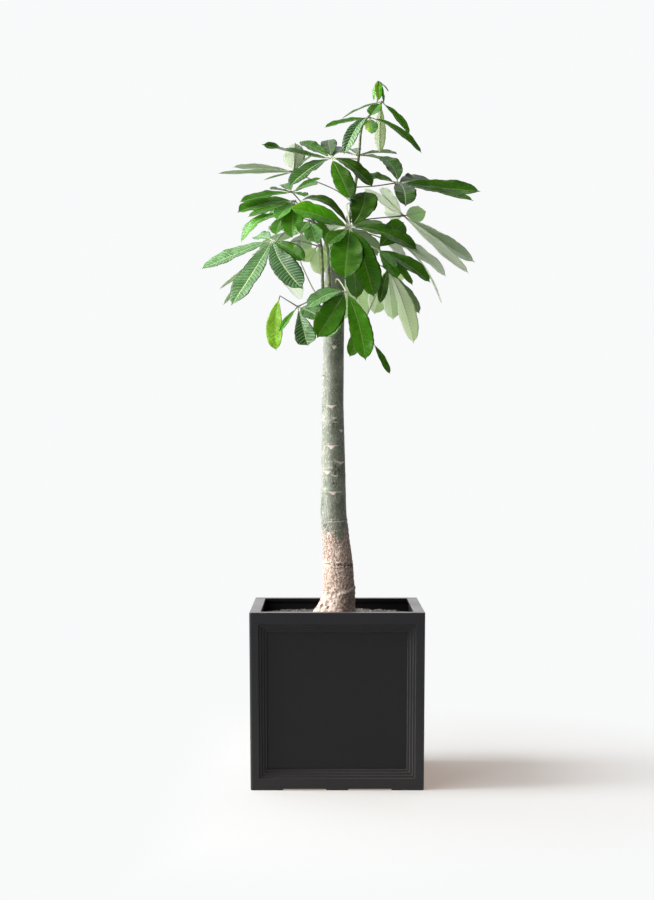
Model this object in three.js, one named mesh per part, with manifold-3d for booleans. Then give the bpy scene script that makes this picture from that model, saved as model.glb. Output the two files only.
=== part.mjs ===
// A potted money tree: one bare trunk in a square planter with panelled sides, topped by thin shoots
// that carry palm-shaped fronds of five to seven leaflets.
// Millimetres, +Z up, +X to the right and -Y towards the viewer. The origin is the middle of the
// planter's underside, on the floor.
import * as THREE from "three";
import { mergeVertices } from "three/addons/utils/BufferGeometryUtils.js";
import Module from "manifold-3d";

const wasm = await Module();
wasm.setup();

// Driving dimensions of the planter.
const POT_WIDTH = 330;
const POT_HEIGHT = 333;
const POT_TAPER = 0.016; // the underside is this share narrower than the rim
const RIM_WIDTH = 21;
const LIP_HEIGHT = 7;
const WALL_INSIDE = 147; // half the clear width below the lip
const POT_FLOOR = 16;
const STILE = 17.5; // plain frame beside each panel
const TOP_RAIL = 22.5;
const BOTTOM_RAIL = 23;
const STEPS = 4; // the moulding round each panel is a small staircase
const STEP_RISE = 5;
const STEP_DEPTH = 3.2;
const FOOT_HEIGHT = 2.5;
const CHANNEL_WIDTH = 82;
const CHANNEL_AT = 62;
const DRAIN_RADIUS = 9;
const CORNER_CHAMFER = 3;

// Driving dimensions of the soil and the plant.
const SOIL_TOP = 311;
const SOIL_BUMPS = 2.2;
const SOIL_GRID = 8;
const GAP = 0.35; // between pieces that touch
const BLADE_THICKNESS = 1.1;
const BLADE_FOLD = 0.24; // how far the two halves of a blade rise from its midrib
const WIDEST_AT = 0.58; // the share of a blade's length where it is widest
const DRIP_TIP = 0.4; // how much the end of a blade is narrowed to a drawn-out point
const STALK_LENGTH = 9; // of a leaflet, between the hub and the blade
const STALK_RADIUS = 1.5;
const BLADE_STEP = 28; // between the cross-sections of a blade
const PETIOLE_RADIUS = 1.9;
const HUB_RADIUS = 3.4;

// The trunk: height, middle and radius, from the buried end to the cut top.
const TRUNK = [
  [150, -2, 22],
  [230, -3, 34],
  [300, -6, 42],
  [313, -5.6, 41],
  [328, -2.2, 37.2],
  [342, 1.5, 34.2],
  [364, 4.4, 30.8],
  [415, 2.6, 29],
  [454, -1, 27.2],
  [509, -6.4, 25.4],
  [617, -6.9, 23.2],
  [726, -8, 21.3],
  [850, -6.1, 20.3],
  [935, -4, 19.6],
  [992, -3, 19],
  [1006, -3, 15],
];
// Heights of the scars that old leaves left.
const SCARS = [362, 415, 495, 553, 603, 644, 694, 723, 779, 840, 905, 960];
const SCAR_RISE = 0.8;
const SCAR_HALF = 4.5;
const TRUNK_SIDES = 14;
// Roots swell the foot of the trunk, up to this height.
const ROOTS = 5;
const ROOT_RELIEF = 0.07;
const ROOTS_END = 375;

// Thin shoots, from the trunk outwards: x, y, z and radius.
const SHOOTS = {
  shoot_leader: [
    [-1, 0, 989, 7.5],
    [8, -3, 1020, 6.4],
    [20, -2, 1067, 5.4],
    [30, 0, 1118, 4.8],
    [38, 0, 1165, 4.3],
    [44, 0, 1220, 3.9],
    [48, 0, 1263, 3.5],
    [57, -6, 1282, 3.2],
    [73, -4, 1300, 2.8],
    [85, 0, 1314, 2.5],
  ],
  shoot_left_outer: [
    [-21, -8, 924, 4.4],
    [-27, -24, 948, 4.2],
    [-28, -24, 987, 3.6],
    [-30, -17, 1032, 3.2],
    [-37, -14, 1064, 2.8],
    [-50, -8, 1084, 2.3],
  ],
  shoot_left_inner: [
    [-7, -10, 918, 4.4],
    [-13, -26, 948, 4.2],
    [-16, -28, 986, 3.6],
    [-18, -22, 1030, 3.2],
    [-35, 6, 1070, 2.8],
    [-58, 10, 1102, 2.4],
    [-74, 6, 1119, 2],
  ],
};

// A leaflet: where its tip lies from the hub, its width, how far it arches towards the palm's face as a share
// of its length, and any sideways bow, face of its own or longer stalk.
const leaf = (reach, width, arch = 0.06, more = {}) => ({ reach, width, arch, sway: 0, ...more });

// Fronds: the petiole's path from its stem to the hub, the way the palm of the hub faces, and the leaflets.
const FRONDS = {
  frond_upper_left: {
    path: [[42, 0, 1206], [18, -30, 1203], [-11, -62, 1199]],
    face: [-0.1, -0.5, 0.86],
    leaflets: [
      leaf([-134, -18, 24], 36, -0.05),
      leaf([-61, 72, 44], 30, 0.02),
      leaf([-6, 92, 50], 32, 0.04),
      leaf([23, 74, 33], 28),
      leaf([-80, -58, -63], 42, 0.12),
      leaf([37, -60, -88], 40, 0.09),
      leaf([80, -23, -59], 38, 0.24),
    ],
  },
  frond_far_left: {
    path: [[30, 0, 1122], [-3, 24, 1149], [-49, 40, 1171], [-86, 48, 1189]],
    face: [-0.1, 0.42, 0.9],
    leaflets: [
      leaf([-123, 27, 12], 28, 0.04),
      leaf([-150, -48, -11], 24, 0),
      leaf([-59, -38, -23], 13, 0),
      leaf([2, 80, 70], 44),
      leaf([39, 67, 42], 32),
    ],
  },
  frond_right: {
    path: [[36, 0, 1151], [75, -18, 1151], [117, -35, 1155]],
    face: [0.1, -0.5, 0.86],
    leaflets: [
      leaf([162, -15, -19], 40, -0.02),
      leaf([146, -60, -43], 30, 0.02),
      leaf([69, 88, 18], 44, 0.04),
      leaf([-29, 80, 64], 38, 0.06, { sway: -0.16 }),
      leaf([-70, 13, 11], 36, 0.12),
      leaf([12, -97, -58], 48, 0.16, { sway: 0.08 }),
    ],
  },
  frond_right_pale: {
    path: [[26, 0, 1083], [66, 28, 1092], [134, 60, 1102]],
    face: [0.2, 0.6, 0.78],
    leaflets: [
      leaf([-80, 60, 61], 26, 0),
      leaf([-49, 24, 58], 32, 0.02),
      leaf([52, 68, 26], 42, 0.04, { face: [-0.2, 0.95, -0.1] }),
      leaf([-39, 70, 16], 32, 0, { face: [0, 0.9, 0.3] }),
      leaf([142, -15, -95], 36, -0.02),
      leaf([127, -60, -121], 30, -0.03),
    ],
  },
  frond_front: {
    path: [[30, 0, 1120], [19, -60, 1109], [22, -120, 1077], [24, -150, 1055]],
    face: [0, -0.6, 0.8],
    leaflets: [
      leaf([-11, -78, -104], 66),
      leaf([30, 70, 78], 52, 0.06, { sway: -0.16 }),
      leaf([-94, 38, 55], 30, 0.5),
      leaf([-112, -40, 32], 48, 0.1),
      leaf([127, -28, -46], 44, 0.2),
      leaf([45, -18, -133], 50, 0.26),
      leaf([-43, -40, -36], 36),
    ],
  },
  frond_left: {
    path: [[-19, 0, 914], [-44, -28, 946], [-67, -55, 992], [-82, -75, 1026], [-124, -85, 1039]],
    face: [-0.2, -0.7, 0.7],
    leaflets: [
      leaf([-136, -25, -59], 34, 0.03),
      leaf([-76, -65, -131], 46, 0.03, { sway: 0.05 }),
      leaf([60, -85, -101], 50, 0.05, { sway: -0.12 }),
      leaf([63, -40, -44], 34, 0.08),
      leaf([-34, 75, 15], 32),
    ],
  },
  frond_left_behind: {
    path: [[-30, -17, 1032], [-72, 8, 1046], [-100, 26, 1044], [-128, 35, 1037]],
    face: [-0.1, 0.6, 0.8],
    leaflets: [
      leaf([-107, 10, -84], 22, -0.04),
      leaf([-97, -30, -119], 32, 0),
      leaf([62, -35, -105], 46, 0.02, { sway: 0.08 }),
      leaf([-35, -65, -22], 24),
      leaf([28, 75, 40], 30),
    ],
  },
  frond_left_young: {
    path: [[-58, 10, 1102], [-70, -5, 1121], [-87, -12, 1140]],
    face: [-0.1, -0.55, 0.84],
    leaflets: [
      leaf([-103, -18, -22], 32, 0.05),
      leaf([-42, -58, -2], 22),
      leaf([51, -50, 9], 24),
      leaf([56, 37, 33], 18),
      leaf([26, -68, -18], 28, 0.06, { face: [0.3, -0.8, 0.5] }),
      leaf([-19, 62, 24], 24),
    ],
  },
  frond_left_middle: {
    path: [[-66, 8, 1111], [-82, 6, 1125]],
    face: [-0.2, -0.65, 0.74],
    leaflets: [
      leaf([-112, -41, -28], 48, 0.12),
      leaf([-94, 6, -31], 24, 0.02),
      leaf([-54, 46, -20], 26, 0),
      leaf([-34, -61, -45], 34),
      leaf([-4, -78, -81], 44),
    ],
  },
  frond_left_lower: {
    path: [[-50, -8, 1084], [-76, 14, 1094], [-104, 26, 1100]],
    face: [-0.3, -0.6, 0.75],
    leaflets: [
      leaf([-86, 16, -30], 22, 0.14),
      leaf([-84, -24, -58], 26, 0.4),
      leaf([-14, -68, -47], 30),
      leaf([-25, 62, -19], 30),
    ],
  },
  frond_inner_left: {
    path: [[-41, -12, 1070], [-46, -30, 1079], [-54, -48, 1081]],
    face: [0, -0.7, 0.7],
    leaflets: [
      leaf([14, -36, -48], 38),
      leaf([-17, -50, -30], 28),
      leaf([39, 12, -33], 32),
    ],
  },
  frond_lower_left: {
    path: [[-17, -8, 924], [-48, -34, 926], [-76, -45, 914]],
    face: [-0.2, -0.7, 0.7],
    leaflets: [
      leaf([-35, -27, -51], 20, 0.1),
      leaf([-41, -5, -86], 33, 0, { stalk: [-34, 1, 21], sway: -0.12, face: [-0.2, -0.9, 0.1] }),
      leaf([21, -50, -79], 46, 0.1),
      leaf([49, -43, -25], 42),
    ],
  },
  frond_lower_front: {
    path: [[-3, -6, 963], [2, -70, 965], [17, -135, 937]],
    face: [0, -0.65, 0.76],
    leaflets: [
      leaf([-74, -25, -33], 38, 0.24),
      leaf([-55, -63, -92], 54),
      leaf([-36, 10, -86], 44),
      leaf([36, -33, -133], 44, 0.06, { sway: 0.08 }),
      leaf([84, 25, -156], 16, 0.02),
    ],
  },
  frond_right_middle: {
    path: [[12, -3, 1036], [45, -44, 1037], [77, -72, 1023]],
    face: [0.3, -0.6, 0.75],
    leaflets: [
      leaf([102, -23, -67], 44, 0.1),
      leaf([67, -50, -75], 22, 0.1),
      leaf([34, -68, -43], 22),
      leaf([38, -18, -59], 40),
      leaf([54, 62, 59], 42, 0.02, { face: [0.3, -0.9, 0.3] }),
    ],
  },
  frond_right_trailing: {
    path: [[18, -2, 1059], [54, 12, 1063], [89, 14, 1053]],
    face: [0.3, 0.5, 0.82],
    leaflets: [
      leaf([127, -9, -78], 36, 0.2),
      leaf([117, -49, -139], 9, 0.38),
      leaf([45, -6, -42], 32),
      leaf([36, 71, 17], 30),
    ],
  },
  frond_lower_right: {
    path: [[3, 0, 975], [50, 26, 1007], [101, 24, 995]],
    face: [0.2, 0.7, 0.7],
    leaflets: [
      leaf([11, 20, -102], 38, 0.02),
      leaf([65, 38, -88], 34, -0.14),
      leaf([51, -4, -151], 38, 0.04, { sway: -0.08 }),
      leaf([-26, 54, -89], 44),
      leaf([-76, -28, -177], 34, 0, { stalk: [-23, -9, -58], sway: -0.1 }),
      leaf([-18, -74, -76], 22),
      leaf([31, 86, -19], 32),
    ],
  },
  frond_top: {
    path: [[51, -2, 1273], [57, -18, 1282], [64, -32, 1282]],
    face: [0, -0.5, 0.86],
    leaflets: [
      leaf([-89, -28, -24], 22),
      leaf([-51, -52, -80], 34, 0.34),
      leaf([3, -56, -41], 28),
      leaf([101, -20, -73], 24, 0.2),
    ],
  },
  frond_tip: {
    path: [[79, -2, 1306], [85, 0, 1313], [88, 2, 1319]],
    face: [0.1, -0.35, 0.93],
    leaflets: [
      leaf([56, 10, -62], 24, 0.08, { face: [0.5, -0.7, 0.5] }),
      leaf([-3, 20, -98], 22, 0.1, { face: [0.2, -0.95, 0.2] }),
      leaf([-22, -60, -34], 28),
      leaf([-79, 18, -31], 24, 0.12),
    ],
  },
  frond_bud: {
    path: [[77, -3, 1304], [80, 16, 1325], [81, 14, 1344], [81, 8, 1359]],
    face: [0, -0.3, 1],
    leaflets: [
      leaf([-10, -12, -38], 13, 0.4),
      leaf([12, 4, -37], 13, 0.4),
      leaf([-1, -34, -40], 15, 0.4),
      leaf([21, -4, -21], 5, 0.3),
    ],
  },
  frond_upper_back: {
    path: [[44, 0, 1220], [42, 24, 1226], [40, 46, 1221]],
    face: [0, 0.1, 1],
    leaflets: [
      leaf([83, 34, 7], 24, 0.1),
      leaf([56, 72, 0], 26),
      leaf([-8, 84, 25], 28),
      leaf([-49, 49, 13], 26),
    ],
  },
  frond_inner_back: {
    path: [[-29, -20, 1018], [-35, 20, 1036], [-35, 44, 1042]],
    face: [0, 0.6, 0.8],
    leaflets: [
      leaf([2, 22, -57], 38),
      leaf([-32, 18, -32], 32),
      leaf([26, 61, -20], 38),
      leaf([-20, 56, 24], 32),
    ],
  },
  frond_back: {
    path: [[24, 0, 1079], [21, 80, 1104], [20, 160, 1093]],
    face: [0, 0.45, 0.9],
    leaflets: [
      leaf([-74, 45, -8], 40),
      leaf([-37, 85, -66], 46),
      leaf([14, 102, -81], 50),
      leaf([67, 75, -55], 46),
      leaf([79, 45, 1], 38),
    ],
  },
  frond_lower_back: {
    path: [[1, 0, 967], [19, 60, 994], [36, 112, 995]],
    face: [0.05, 0.55, 0.84],
    leaflets: [
      leaf([-65, 53, -37], 38),
      leaf([-28, 68, -97], 42),
      leaf([17, 78, -89], 42),
      leaf([50, 58, -36], 40),
    ],
  },
  frond_left_back: {
    path: [[14, 0, 1042], [-21, 95, 1085], [-70, 175, 1082]],
    face: [-0.3, 0.4, 0.87],
    leaflets: [
      leaf([-91, 25, -34], 38),
      leaf([-38, 50, -69], 42),
      leaf([3, 75, -50], 42),
      leaf([-72, 50, 10], 34),
    ],
  },
};

const COLOURS = {
  planter: { color: 0x2d2d2f, roughness: 0.6 },
  soil: { color: 0x3a3632, roughness: 1 },
  bark: { color: 0x8b8f7c, roughness: 0.85 },
  shoot: { color: 0x56692f, roughness: 0.7 },
  leaf: { color: 0x3f7a22, roughness: 0.45 },
};

// A closed geometry as a solid that can be joined and cut.
function solid(geometry) {
  const bare = geometry.clone();
  bare.deleteAttribute("normal");
  bare.deleteAttribute("uv");
  const merged = mergeVertices(bare, 1e-4);
  const triVerts = new Uint32Array(merged.index.array);
  const vertProperties = merged.attributes.position.array;
  return new wasm.Manifold(new wasm.Mesh({ numProp: 3, vertProperties, triVerts }));
}

// A solid as a named mesh of one finish.
function piece(name, shape, finish) {
  const { numProp, vertProperties, triVerts } = shape.getMesh();
  const position = new Float32Array((vertProperties.length / numProp) * 3);
  for (let i = 0; i < position.length / 3; i++) {
    position.set(vertProperties.subarray(i * numProp, i * numProp + 3), i * 3);
  }
  const geometry = new THREE.BufferGeometry()
    .setAttribute("position", new THREE.BufferAttribute(position, 3))
    .setIndex(new THREE.BufferAttribute(triVerts, 1));
  geometry.computeVertexNormals();
  const material = new THREE.MeshStandardMaterial({ metalness: 0, ...COLOURS[finish] });
  const mesh = new THREE.Mesh(geometry, material);
  mesh.name = name;
  return mesh;
}

const point = (row) => new THREE.Vector3(row[0], row[1], row[2]);

const joined = (shapes) => shapes.reduce((whole, next) => whole.add(next));

// A closed body through rings of equal count, each counter-clockwise about the way the rings follow. The
// faces from the side numbered turned on are split the other way, as a thin blade's underside has to be.
function loft(rings, turned = Infinity) {
  const count = rings[0].length;
  const last = (rings.length - 1) * count;
  const index = [];
  for (let i = 0; i < rings.length - 1; i++) {
    for (let k = 0; k < count; k++) {
      const a = i * count + k;
      const b = i * count + ((k + 1) % count);
      if (k < turned) {
        index.push(a, b, b + count, a, b + count, a + count);
      } else {
        index.push(a, b, a + count, b, b + count, a + count);
      }
    }
  }
  for (let k = 1; k < count - 1; k++) {
    index.push(0, k + 1, k);
    index.push(last, last + k, last + k + 1);
  }
  const geometry = new THREE.BufferGeometry().setFromPoints(rings.flat());
  return solid(geometry.setIndex(index));
}

// A round stem through points, its radius given by a function of the share of the way along.
function stem(points, radiusAt, sides, steps) {
  const curve = new THREE.CatmullRomCurve3(points, false, "catmullrom", 0.5);
  const frames = curve.computeFrenetFrames(steps, false);
  const rings = [];
  for (let i = 0; i <= steps; i++) {
    const middle = curve.getPointAt(i / steps);
    const radius = radiusAt(i / steps);
    const ring = [];
    for (let k = 0; k < sides; k++) {
      const angle = (k / sides) * 2 * Math.PI;
      ring.push(
        middle
          .clone()
          .addScaledVector(frames.normals[i], radius * Math.cos(angle))
          .addScaledVector(frames.binormals[i], radius * Math.sin(angle)),
      );
    }
    rings.push(ring);
  }
  return loft(rings);
}

// The values at a key, read between rows of [key, ...values].
function between(rows, key) {
  const next = Math.min(Math.max(rows.findIndex((row) => row[0] >= key), 1), rows.length - 1);
  const share = (key - rows[next - 1][0]) / (rows[next][0] - rows[next - 1][0]);
  const [from, to] = [rows[next - 1].slice(1), rows[next].slice(1)];
  return to.map((value, i) => THREE.MathUtils.lerp(from[i], value, THREE.MathUtils.clamp(share, 0, 1)));
}

// The trunk's outline at a height and an angle: it swells at each leaf scar and into roots at the soil.
function trunkPoint(z, angle, extra) {
  const [middle, radius] = between(TRUNK, z);
  const spread = 1 - THREE.MathUtils.smoothstep(z, SOIL_TOP, ROOTS_END);
  const lobes = 1 + ROOT_RELIEF * spread * Math.cos(ROOTS * angle + 0.6);
  const scar = SCARS.reduce((sum, at) => sum + SCAR_RISE * Math.exp(-(((z - at) / SCAR_HALF) ** 2)), 0);
  const r = radius * lobes + scar + extra;
  return new THREE.Vector3(middle + r * Math.cos(angle), r * Math.sin(angle), z);
}

function trunk(extra = 0) {
  const ends = [TRUNK[0][0] - extra, TRUNK.at(-1)[0] + extra];
  const levels = [...TRUNK.slice(1, -1).map((row) => row[0]), ...ends];
  SCARS.forEach((at) => levels.push(at - SCAR_HALF, at, at + SCAR_HALF));
  levels.sort((a, b) => a - b);
  const rings = levels
    .filter((z, i) => i === 0 || z - levels[i - 1] > 1.5 || z === ends[1])
    .map((z) => {
      const ring = [];
      for (let k = 0; k < TRUNK_SIDES; k++) {
        ring.push(trunkPoint(z, (k / TRUNK_SIDES) * 2 * Math.PI, extra));
      }
      return ring;
    });
  return loft(rings);
}

function shoot(rows, extra = 0) {
  const points = rows.map((row) => point(row));
  const radiusAt = (share) => {
    const at = share * (rows.length - 1);
    const row = Math.min(Math.floor(at), rows.length - 2);
    return THREE.MathUtils.lerp(rows[row][3], rows[row + 1][3], at - row) + extra;
  };
  return stem(points, radiusAt, 8, 2 * (rows.length - 1));
}

// Half the width of a blade, as a share of its widest, along its length: wedge-shaped at the foot, widest
// past the middle and drawn out to a point.
function outline(share) {
  const body = (at) => at * Math.pow(1 - at, 1 / WIDEST_AT - 1);
  const drawn = 1 - DRIP_TIP * THREE.MathUtils.smoothstep(share, 0.84, 1);
  return (body(share) / body(WIDEST_AT)) * drawn;
}

// One leaflet: a short stalk and a folded, arched blade that faces the way its frond does.
function leaflet(hub, palm, { reach, width, arch, sway, face, stalk }) {
  const at = hub.clone().add(point(reach));
  const foot = stalk ? hub.clone().add(point(stalk)) : hub;
  const facing = face ? point(face).normalize() : palm;
  const chord = at.clone().sub(foot);
  const across = facing.clone().cross(chord).normalize();
  const bow = foot
    .clone()
    .lerp(at, 0.45)
    .addScaledVector(facing, arch * chord.length())
    .addScaledVector(across, sway * chord.length());
  const curve = new THREE.QuadraticBezierCurve3(foot, bow, at);
  const length = curve.getLength();
  const bare = STALK_LENGTH / length;
  const steps = THREE.MathUtils.clamp(Math.round(length / BLADE_STEP), 3, 5);
  const shares = [0, bare];
  for (let i = 1; i <= steps; i++) {
    shares.push(bare + (1 - bare) * (i / steps));
  }
  const rings = shares.map((share) => {
    const along = curve.getTangentAt(share);
    const side = facing.clone().cross(along).normalize();
    const up = along.clone().cross(side);
    const blade = Math.max((share - bare) / (1 - bare), 0);
    const half = Math.max((width / 2) * outline(blade), blade > 0.5 ? 0.7 : STALK_RADIUS);
    const thick = (blade > 0 ? BLADE_THICKNESS : 2 * STALK_RADIUS) / 2;
    const lift = BLADE_FOLD * half;
    const corner = (s, n) =>
      curve.getPointAt(share).addScaledVector(side, s).addScaledVector(up, n);
    return [
      corner(half, lift - thick),
      corner(half, lift + thick),
      corner(0, thick),
      corner(-half, lift + thick),
      corner(-half, lift - thick),
      corner(0, -thick),
    ];
  });
  const blade = loft(rings, 4);
  return stalk ? blade.add(stem([hub, foot], () => STALK_RADIUS, 5, 1)) : blade;
}

// A frond: its petiole, swollen at the foot, the hub and the leaflets, joined in one body.
function frond({ path, face, leaflets }) {
  const petiole = path.map((row) => point(row));
  const hub = petiole.at(-1);
  const palm = point(face).normalize();
  const swell = (share) => PETIOLE_RADIUS * (1 + 0.5 * Math.max(0, 1 - share * 8));
  const stalk = stem(petiole, swell, 5, 2 * (petiole.length - 1));
  const knob = new THREE.IcosahedronGeometry(HUB_RADIUS).translate(hub.x, hub.y, hub.z);
  return joined([stalk, solid(knob), ...leaflets.map((each) => leaflet(hub, palm, each))]);
}

// The largest body of a solid that a cut may have left in pieces.
const largest = (shape) => shape.decompose().sort((a, b) => b.volume() - a.volume())[0];

// Narrows a planter shape evenly towards its foot.
function tapered(shape) {
  return shape.warp((vertex) => {
    const narrow = 1 - POT_TAPER * (1 - vertex[2] / POT_HEIGHT);
    vertex[0] *= narrow;
    vertex[1] *= narrow;
  });
}

const box = (x0, x1, y0, y1, z0, z1) =>
  solid(
    new THREE.BoxGeometry(x1 - x0, y1 - y0, z1 - z0).translate(
      (x0 + x1) / 2,
      (y0 + y1) / 2,
      (z0 + z1) / 2,
    ),
  );

// The stepped recess in one side, cut from the face at the planter's half width.
function panel() {
  const face = POT_WIDTH / 2;
  const steps = [];
  for (let i = 0; i < STEPS; i++) {
    const half = face - STILE - STEP_RISE * i;
    const low = BOTTOM_RAIL + STEP_RISE * i;
    const high = POT_HEIGHT - TOP_RAIL - STEP_RISE * i;
    steps.push(box(-half, half, -face - 1, -face + STEP_DEPTH * (i + 1), low, high));
  }
  return joined(steps);
}

// The planter: a square tub with an inward lip, a panel in each side and nine low feet.
function planter() {
  const half = POT_WIDTH / 2;
  const profile = [
    [0, 0],
    [half, 0],
    [half, POT_HEIGHT],
    [half - RIM_WIDTH, POT_HEIGHT],
    [half - RIM_WIDTH, POT_HEIGHT - LIP_HEIGHT],
    [WALL_INSIDE, POT_HEIGHT - LIP_HEIGHT - 3],
    [WALL_INSIDE, POT_FLOOR],
    [0, POT_FLOOR],
  ].map(([r, z]) => new THREE.Vector2(r * Math.SQRT2, z));
  const tub = solid(new THREE.LatheGeometry(profile, 4, Math.PI / 4).rotateX(Math.PI / 2));
  const cuts = [];
  for (let side = 0; side < 4; side++) {
    cuts.push(panel().rotate([0, 0, 90 * side]));
  }
  for (const at of [-CHANNEL_AT, CHANNEL_AT]) {
    const from = at - CHANNEL_WIDTH / 2;
    const to = at + CHANNEL_WIDTH / 2;
    cuts.push(box(from, to, -half - 1, half + 1, -1, FOOT_HEIGHT));
    cuts.push(box(-half - 1, half + 1, from, to, -1, FOOT_HEIGHT));
    for (const across of [-CHANNEL_AT, CHANNEL_AT]) {
      const drain = new THREE.CylinderGeometry(DRAIN_RADIUS, DRAIN_RADIUS, 3 * POT_FLOOR, 12);
      cuts.push(solid(drain.rotateX(Math.PI / 2).translate(at, across, 0)));
    }
  }
  const corner = (2 * half - CORNER_CHAMFER) / Math.SQRT2;
  const chamfer = box(-corner, corner, -corner, corner, -1, POT_HEIGHT + 1).rotate([0, 0, 45]);
  return tapered(tub.subtract(joined(cuts)).intersect(chamfer));
}

// The soil fills the tub and its top is uneven. The trunk stands in a plain hole.
function soil(hole) {
  const width = 2 * (WALL_INSIDE - GAP);
  const depth = SOIL_TOP - POT_FLOOR - GAP;
  const geometry = new THREE.BoxGeometry(width, width, depth, SOIL_GRID, SOIL_GRID, 1);
  geometry.translate(0, 0, SOIL_TOP - depth / 2);
  const place = geometry.attributes.position;
  for (let i = 0; i < place.count; i++) {
    if (place.getZ(i) > SOIL_TOP - 1) {
      const x = place.getX(i);
      const y = place.getY(i);
      const bumps = Math.sin(x / 12 + 1) * Math.cos(y / 14) + Math.sin(x / 5 - y / 4);
      place.setZ(i, SOIL_TOP + (SOIL_BUMPS / 2) * bumps);
    }
  }
  return tapered(solid(geometry)).subtract(hole);
}

const shootNames = Object.keys(SHOOTS);
const shoots = shootNames.map((name) => shoot(SHOOTS[name]));
const shootsWithGap = joined(shootNames.map((name) => shoot(SHOOTS[name], GAP)));
const trunkWithGap = trunk(GAP);
const stems = trunkWithGap.add(shootsWithGap);

const tree = new THREE.Group();
tree.add(piece("planter", planter(), "planter"));
tree.add(piece("soil", soil(trunkWithGap), "soil"));
tree.add(piece("trunk", trunk().subtract(shootsWithGap), "bark"));
shoots.forEach((shape, i) => tree.add(piece(shootNames[i], shape, "shoot")));
for (const [name, parts] of Object.entries(FRONDS)) {
  tree.add(piece(name, largest(frond(parts).subtract(stems)), "leaf"));
}

export default tree;
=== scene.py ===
# %% [markdown]
# # Potted money tree
# One bare trunk stands in a square resin planter and ends in thin green shoots. Each shoot carries fronds:
# a long petiole, a hub, and four to seven leaflets spread round the hub like the fingers of a hand.
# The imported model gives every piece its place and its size. This lesson keeps those forms and adds what
# the eye sees close up: veins and waves in the leaflets, scars and cracks in the bark, crumbs of soil.

# %% Load the frame
import math

import bmesh
import bpy
import numpy as np
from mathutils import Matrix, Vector, noise


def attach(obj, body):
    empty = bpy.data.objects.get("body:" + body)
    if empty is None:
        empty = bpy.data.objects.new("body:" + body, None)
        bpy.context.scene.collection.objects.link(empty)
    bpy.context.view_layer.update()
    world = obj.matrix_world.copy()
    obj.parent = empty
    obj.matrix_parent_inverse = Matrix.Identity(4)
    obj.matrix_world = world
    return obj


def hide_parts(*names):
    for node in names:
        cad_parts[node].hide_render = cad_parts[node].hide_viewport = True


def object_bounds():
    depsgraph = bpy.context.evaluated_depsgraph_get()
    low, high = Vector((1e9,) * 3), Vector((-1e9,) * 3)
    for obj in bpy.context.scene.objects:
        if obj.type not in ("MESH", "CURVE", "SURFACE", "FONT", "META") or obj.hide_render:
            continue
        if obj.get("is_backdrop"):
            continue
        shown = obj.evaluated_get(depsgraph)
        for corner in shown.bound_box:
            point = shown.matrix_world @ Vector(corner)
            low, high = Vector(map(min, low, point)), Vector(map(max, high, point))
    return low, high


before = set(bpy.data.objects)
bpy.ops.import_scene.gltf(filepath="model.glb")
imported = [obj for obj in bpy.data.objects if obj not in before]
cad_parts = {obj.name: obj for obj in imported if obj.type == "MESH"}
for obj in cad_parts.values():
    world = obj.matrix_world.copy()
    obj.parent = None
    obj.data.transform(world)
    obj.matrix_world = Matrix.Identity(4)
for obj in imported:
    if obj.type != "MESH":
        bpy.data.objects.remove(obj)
cad_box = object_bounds()
scene = bpy.context.scene
MM = 0.001  # lengths below are in millimetres, as on a drawing, and become metres in the meshes
print("solid nodes:", len(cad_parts))

# %% [markdown]
# ## Camera
# The planter's rim is square, so the way it narrows towards the back gives the viewer's place: 3.5 m in
# front of the planter and two planter heights above the floor. The camera looks level, and a small shift
# lowers the picture, as on a view camera, which keeps the trunk's and the planter's uprights parallel.

# %% Camera
EYE = (-21, -3685, 667.5)
FOCAL_PIXELS = 1881
PICTURE_HEIGHT = 900
SENSOR = 36
SHIFT_PIXELS = (1, -16)

camera_data = bpy.data.cameras.new("camera")
camera_data.sensor_width = SENSOR
camera_data.lens = FOCAL_PIXELS * SENSOR / PICTURE_HEIGHT
camera_data.shift_x = SHIFT_PIXELS[0] / PICTURE_HEIGHT
camera_data.shift_y = SHIFT_PIXELS[1] / PICTURE_HEIGHT
camera = bpy.data.objects.new("camera", camera_data)
camera.location = Vector(EYE) * MM
camera.rotation_euler = (math.radians(90), 0, 0)
scene.collection.objects.link(camera)
scene.camera = camera
print(f"lens {camera_data.lens:.1f} mm")


# %% [markdown]
# ## Helpers
# Every material and every geometry tree here is made of nodes. The first helper adds a node, fills in its
# inputs and joins it to others, and those after it name the steps that most of the trees share. They all
# work on the tree that is being made, which is always called tree.

# %% Node helpers
def add(kind, inputs=None, **settings):
    """Adds a node to the tree and returns its outputs. Inputs that are given sockets are linked to them."""
    made = tree.nodes.new(kind)
    for key, value in settings.items():
        setattr(made, key, value)
    for key, value in (inputs or {}).items():
        if isinstance(value, bpy.types.NodeSocket):
            tree.links.new(value, made.inputs[key])
        else:
            made.inputs[key].default_value = value
    return made.outputs


def calc(operation, first, second=0.0, third=0.0):
    """One step of arithmetic between sockets or numbers."""
    return add("ShaderNodeMath", {0: first, 1: second, 2: third}, operation=operation)[0]


def times(first, second):
    return calc("MULTIPLY", first, second)


def ramp(value, start, end, low=0.0, high=1.0):
    """Eases from low to high while value goes from start to end."""
    inputs = {"Value": value, "From Min": start, "From Max": end, "To Min": low, "To Max": high}
    return add("ShaderNodeMapRange", inputs, interpolation_type="SMOOTHSTEP")[0]


def blend(share, first, second, how="MIX"):
    """Mixes two colours, each a socket or three numbers."""
    one, other = (c if isinstance(c, bpy.types.NodeSocket) else (*c, 1) for c in (first, second))
    return add("ShaderNodeMix", {0: share, 6: one, 7: other}, data_type="RGBA", blend_type=how)[2]


def painted(base, *coats):
    """Lays coats on a base. A coat is its share, or a value and the ends of its ramp, then its colour."""
    for *share, colour in coats:
        base = blend(ramp(*share) if len(share) > 1 else share[0], base, colour)
    return base


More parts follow.
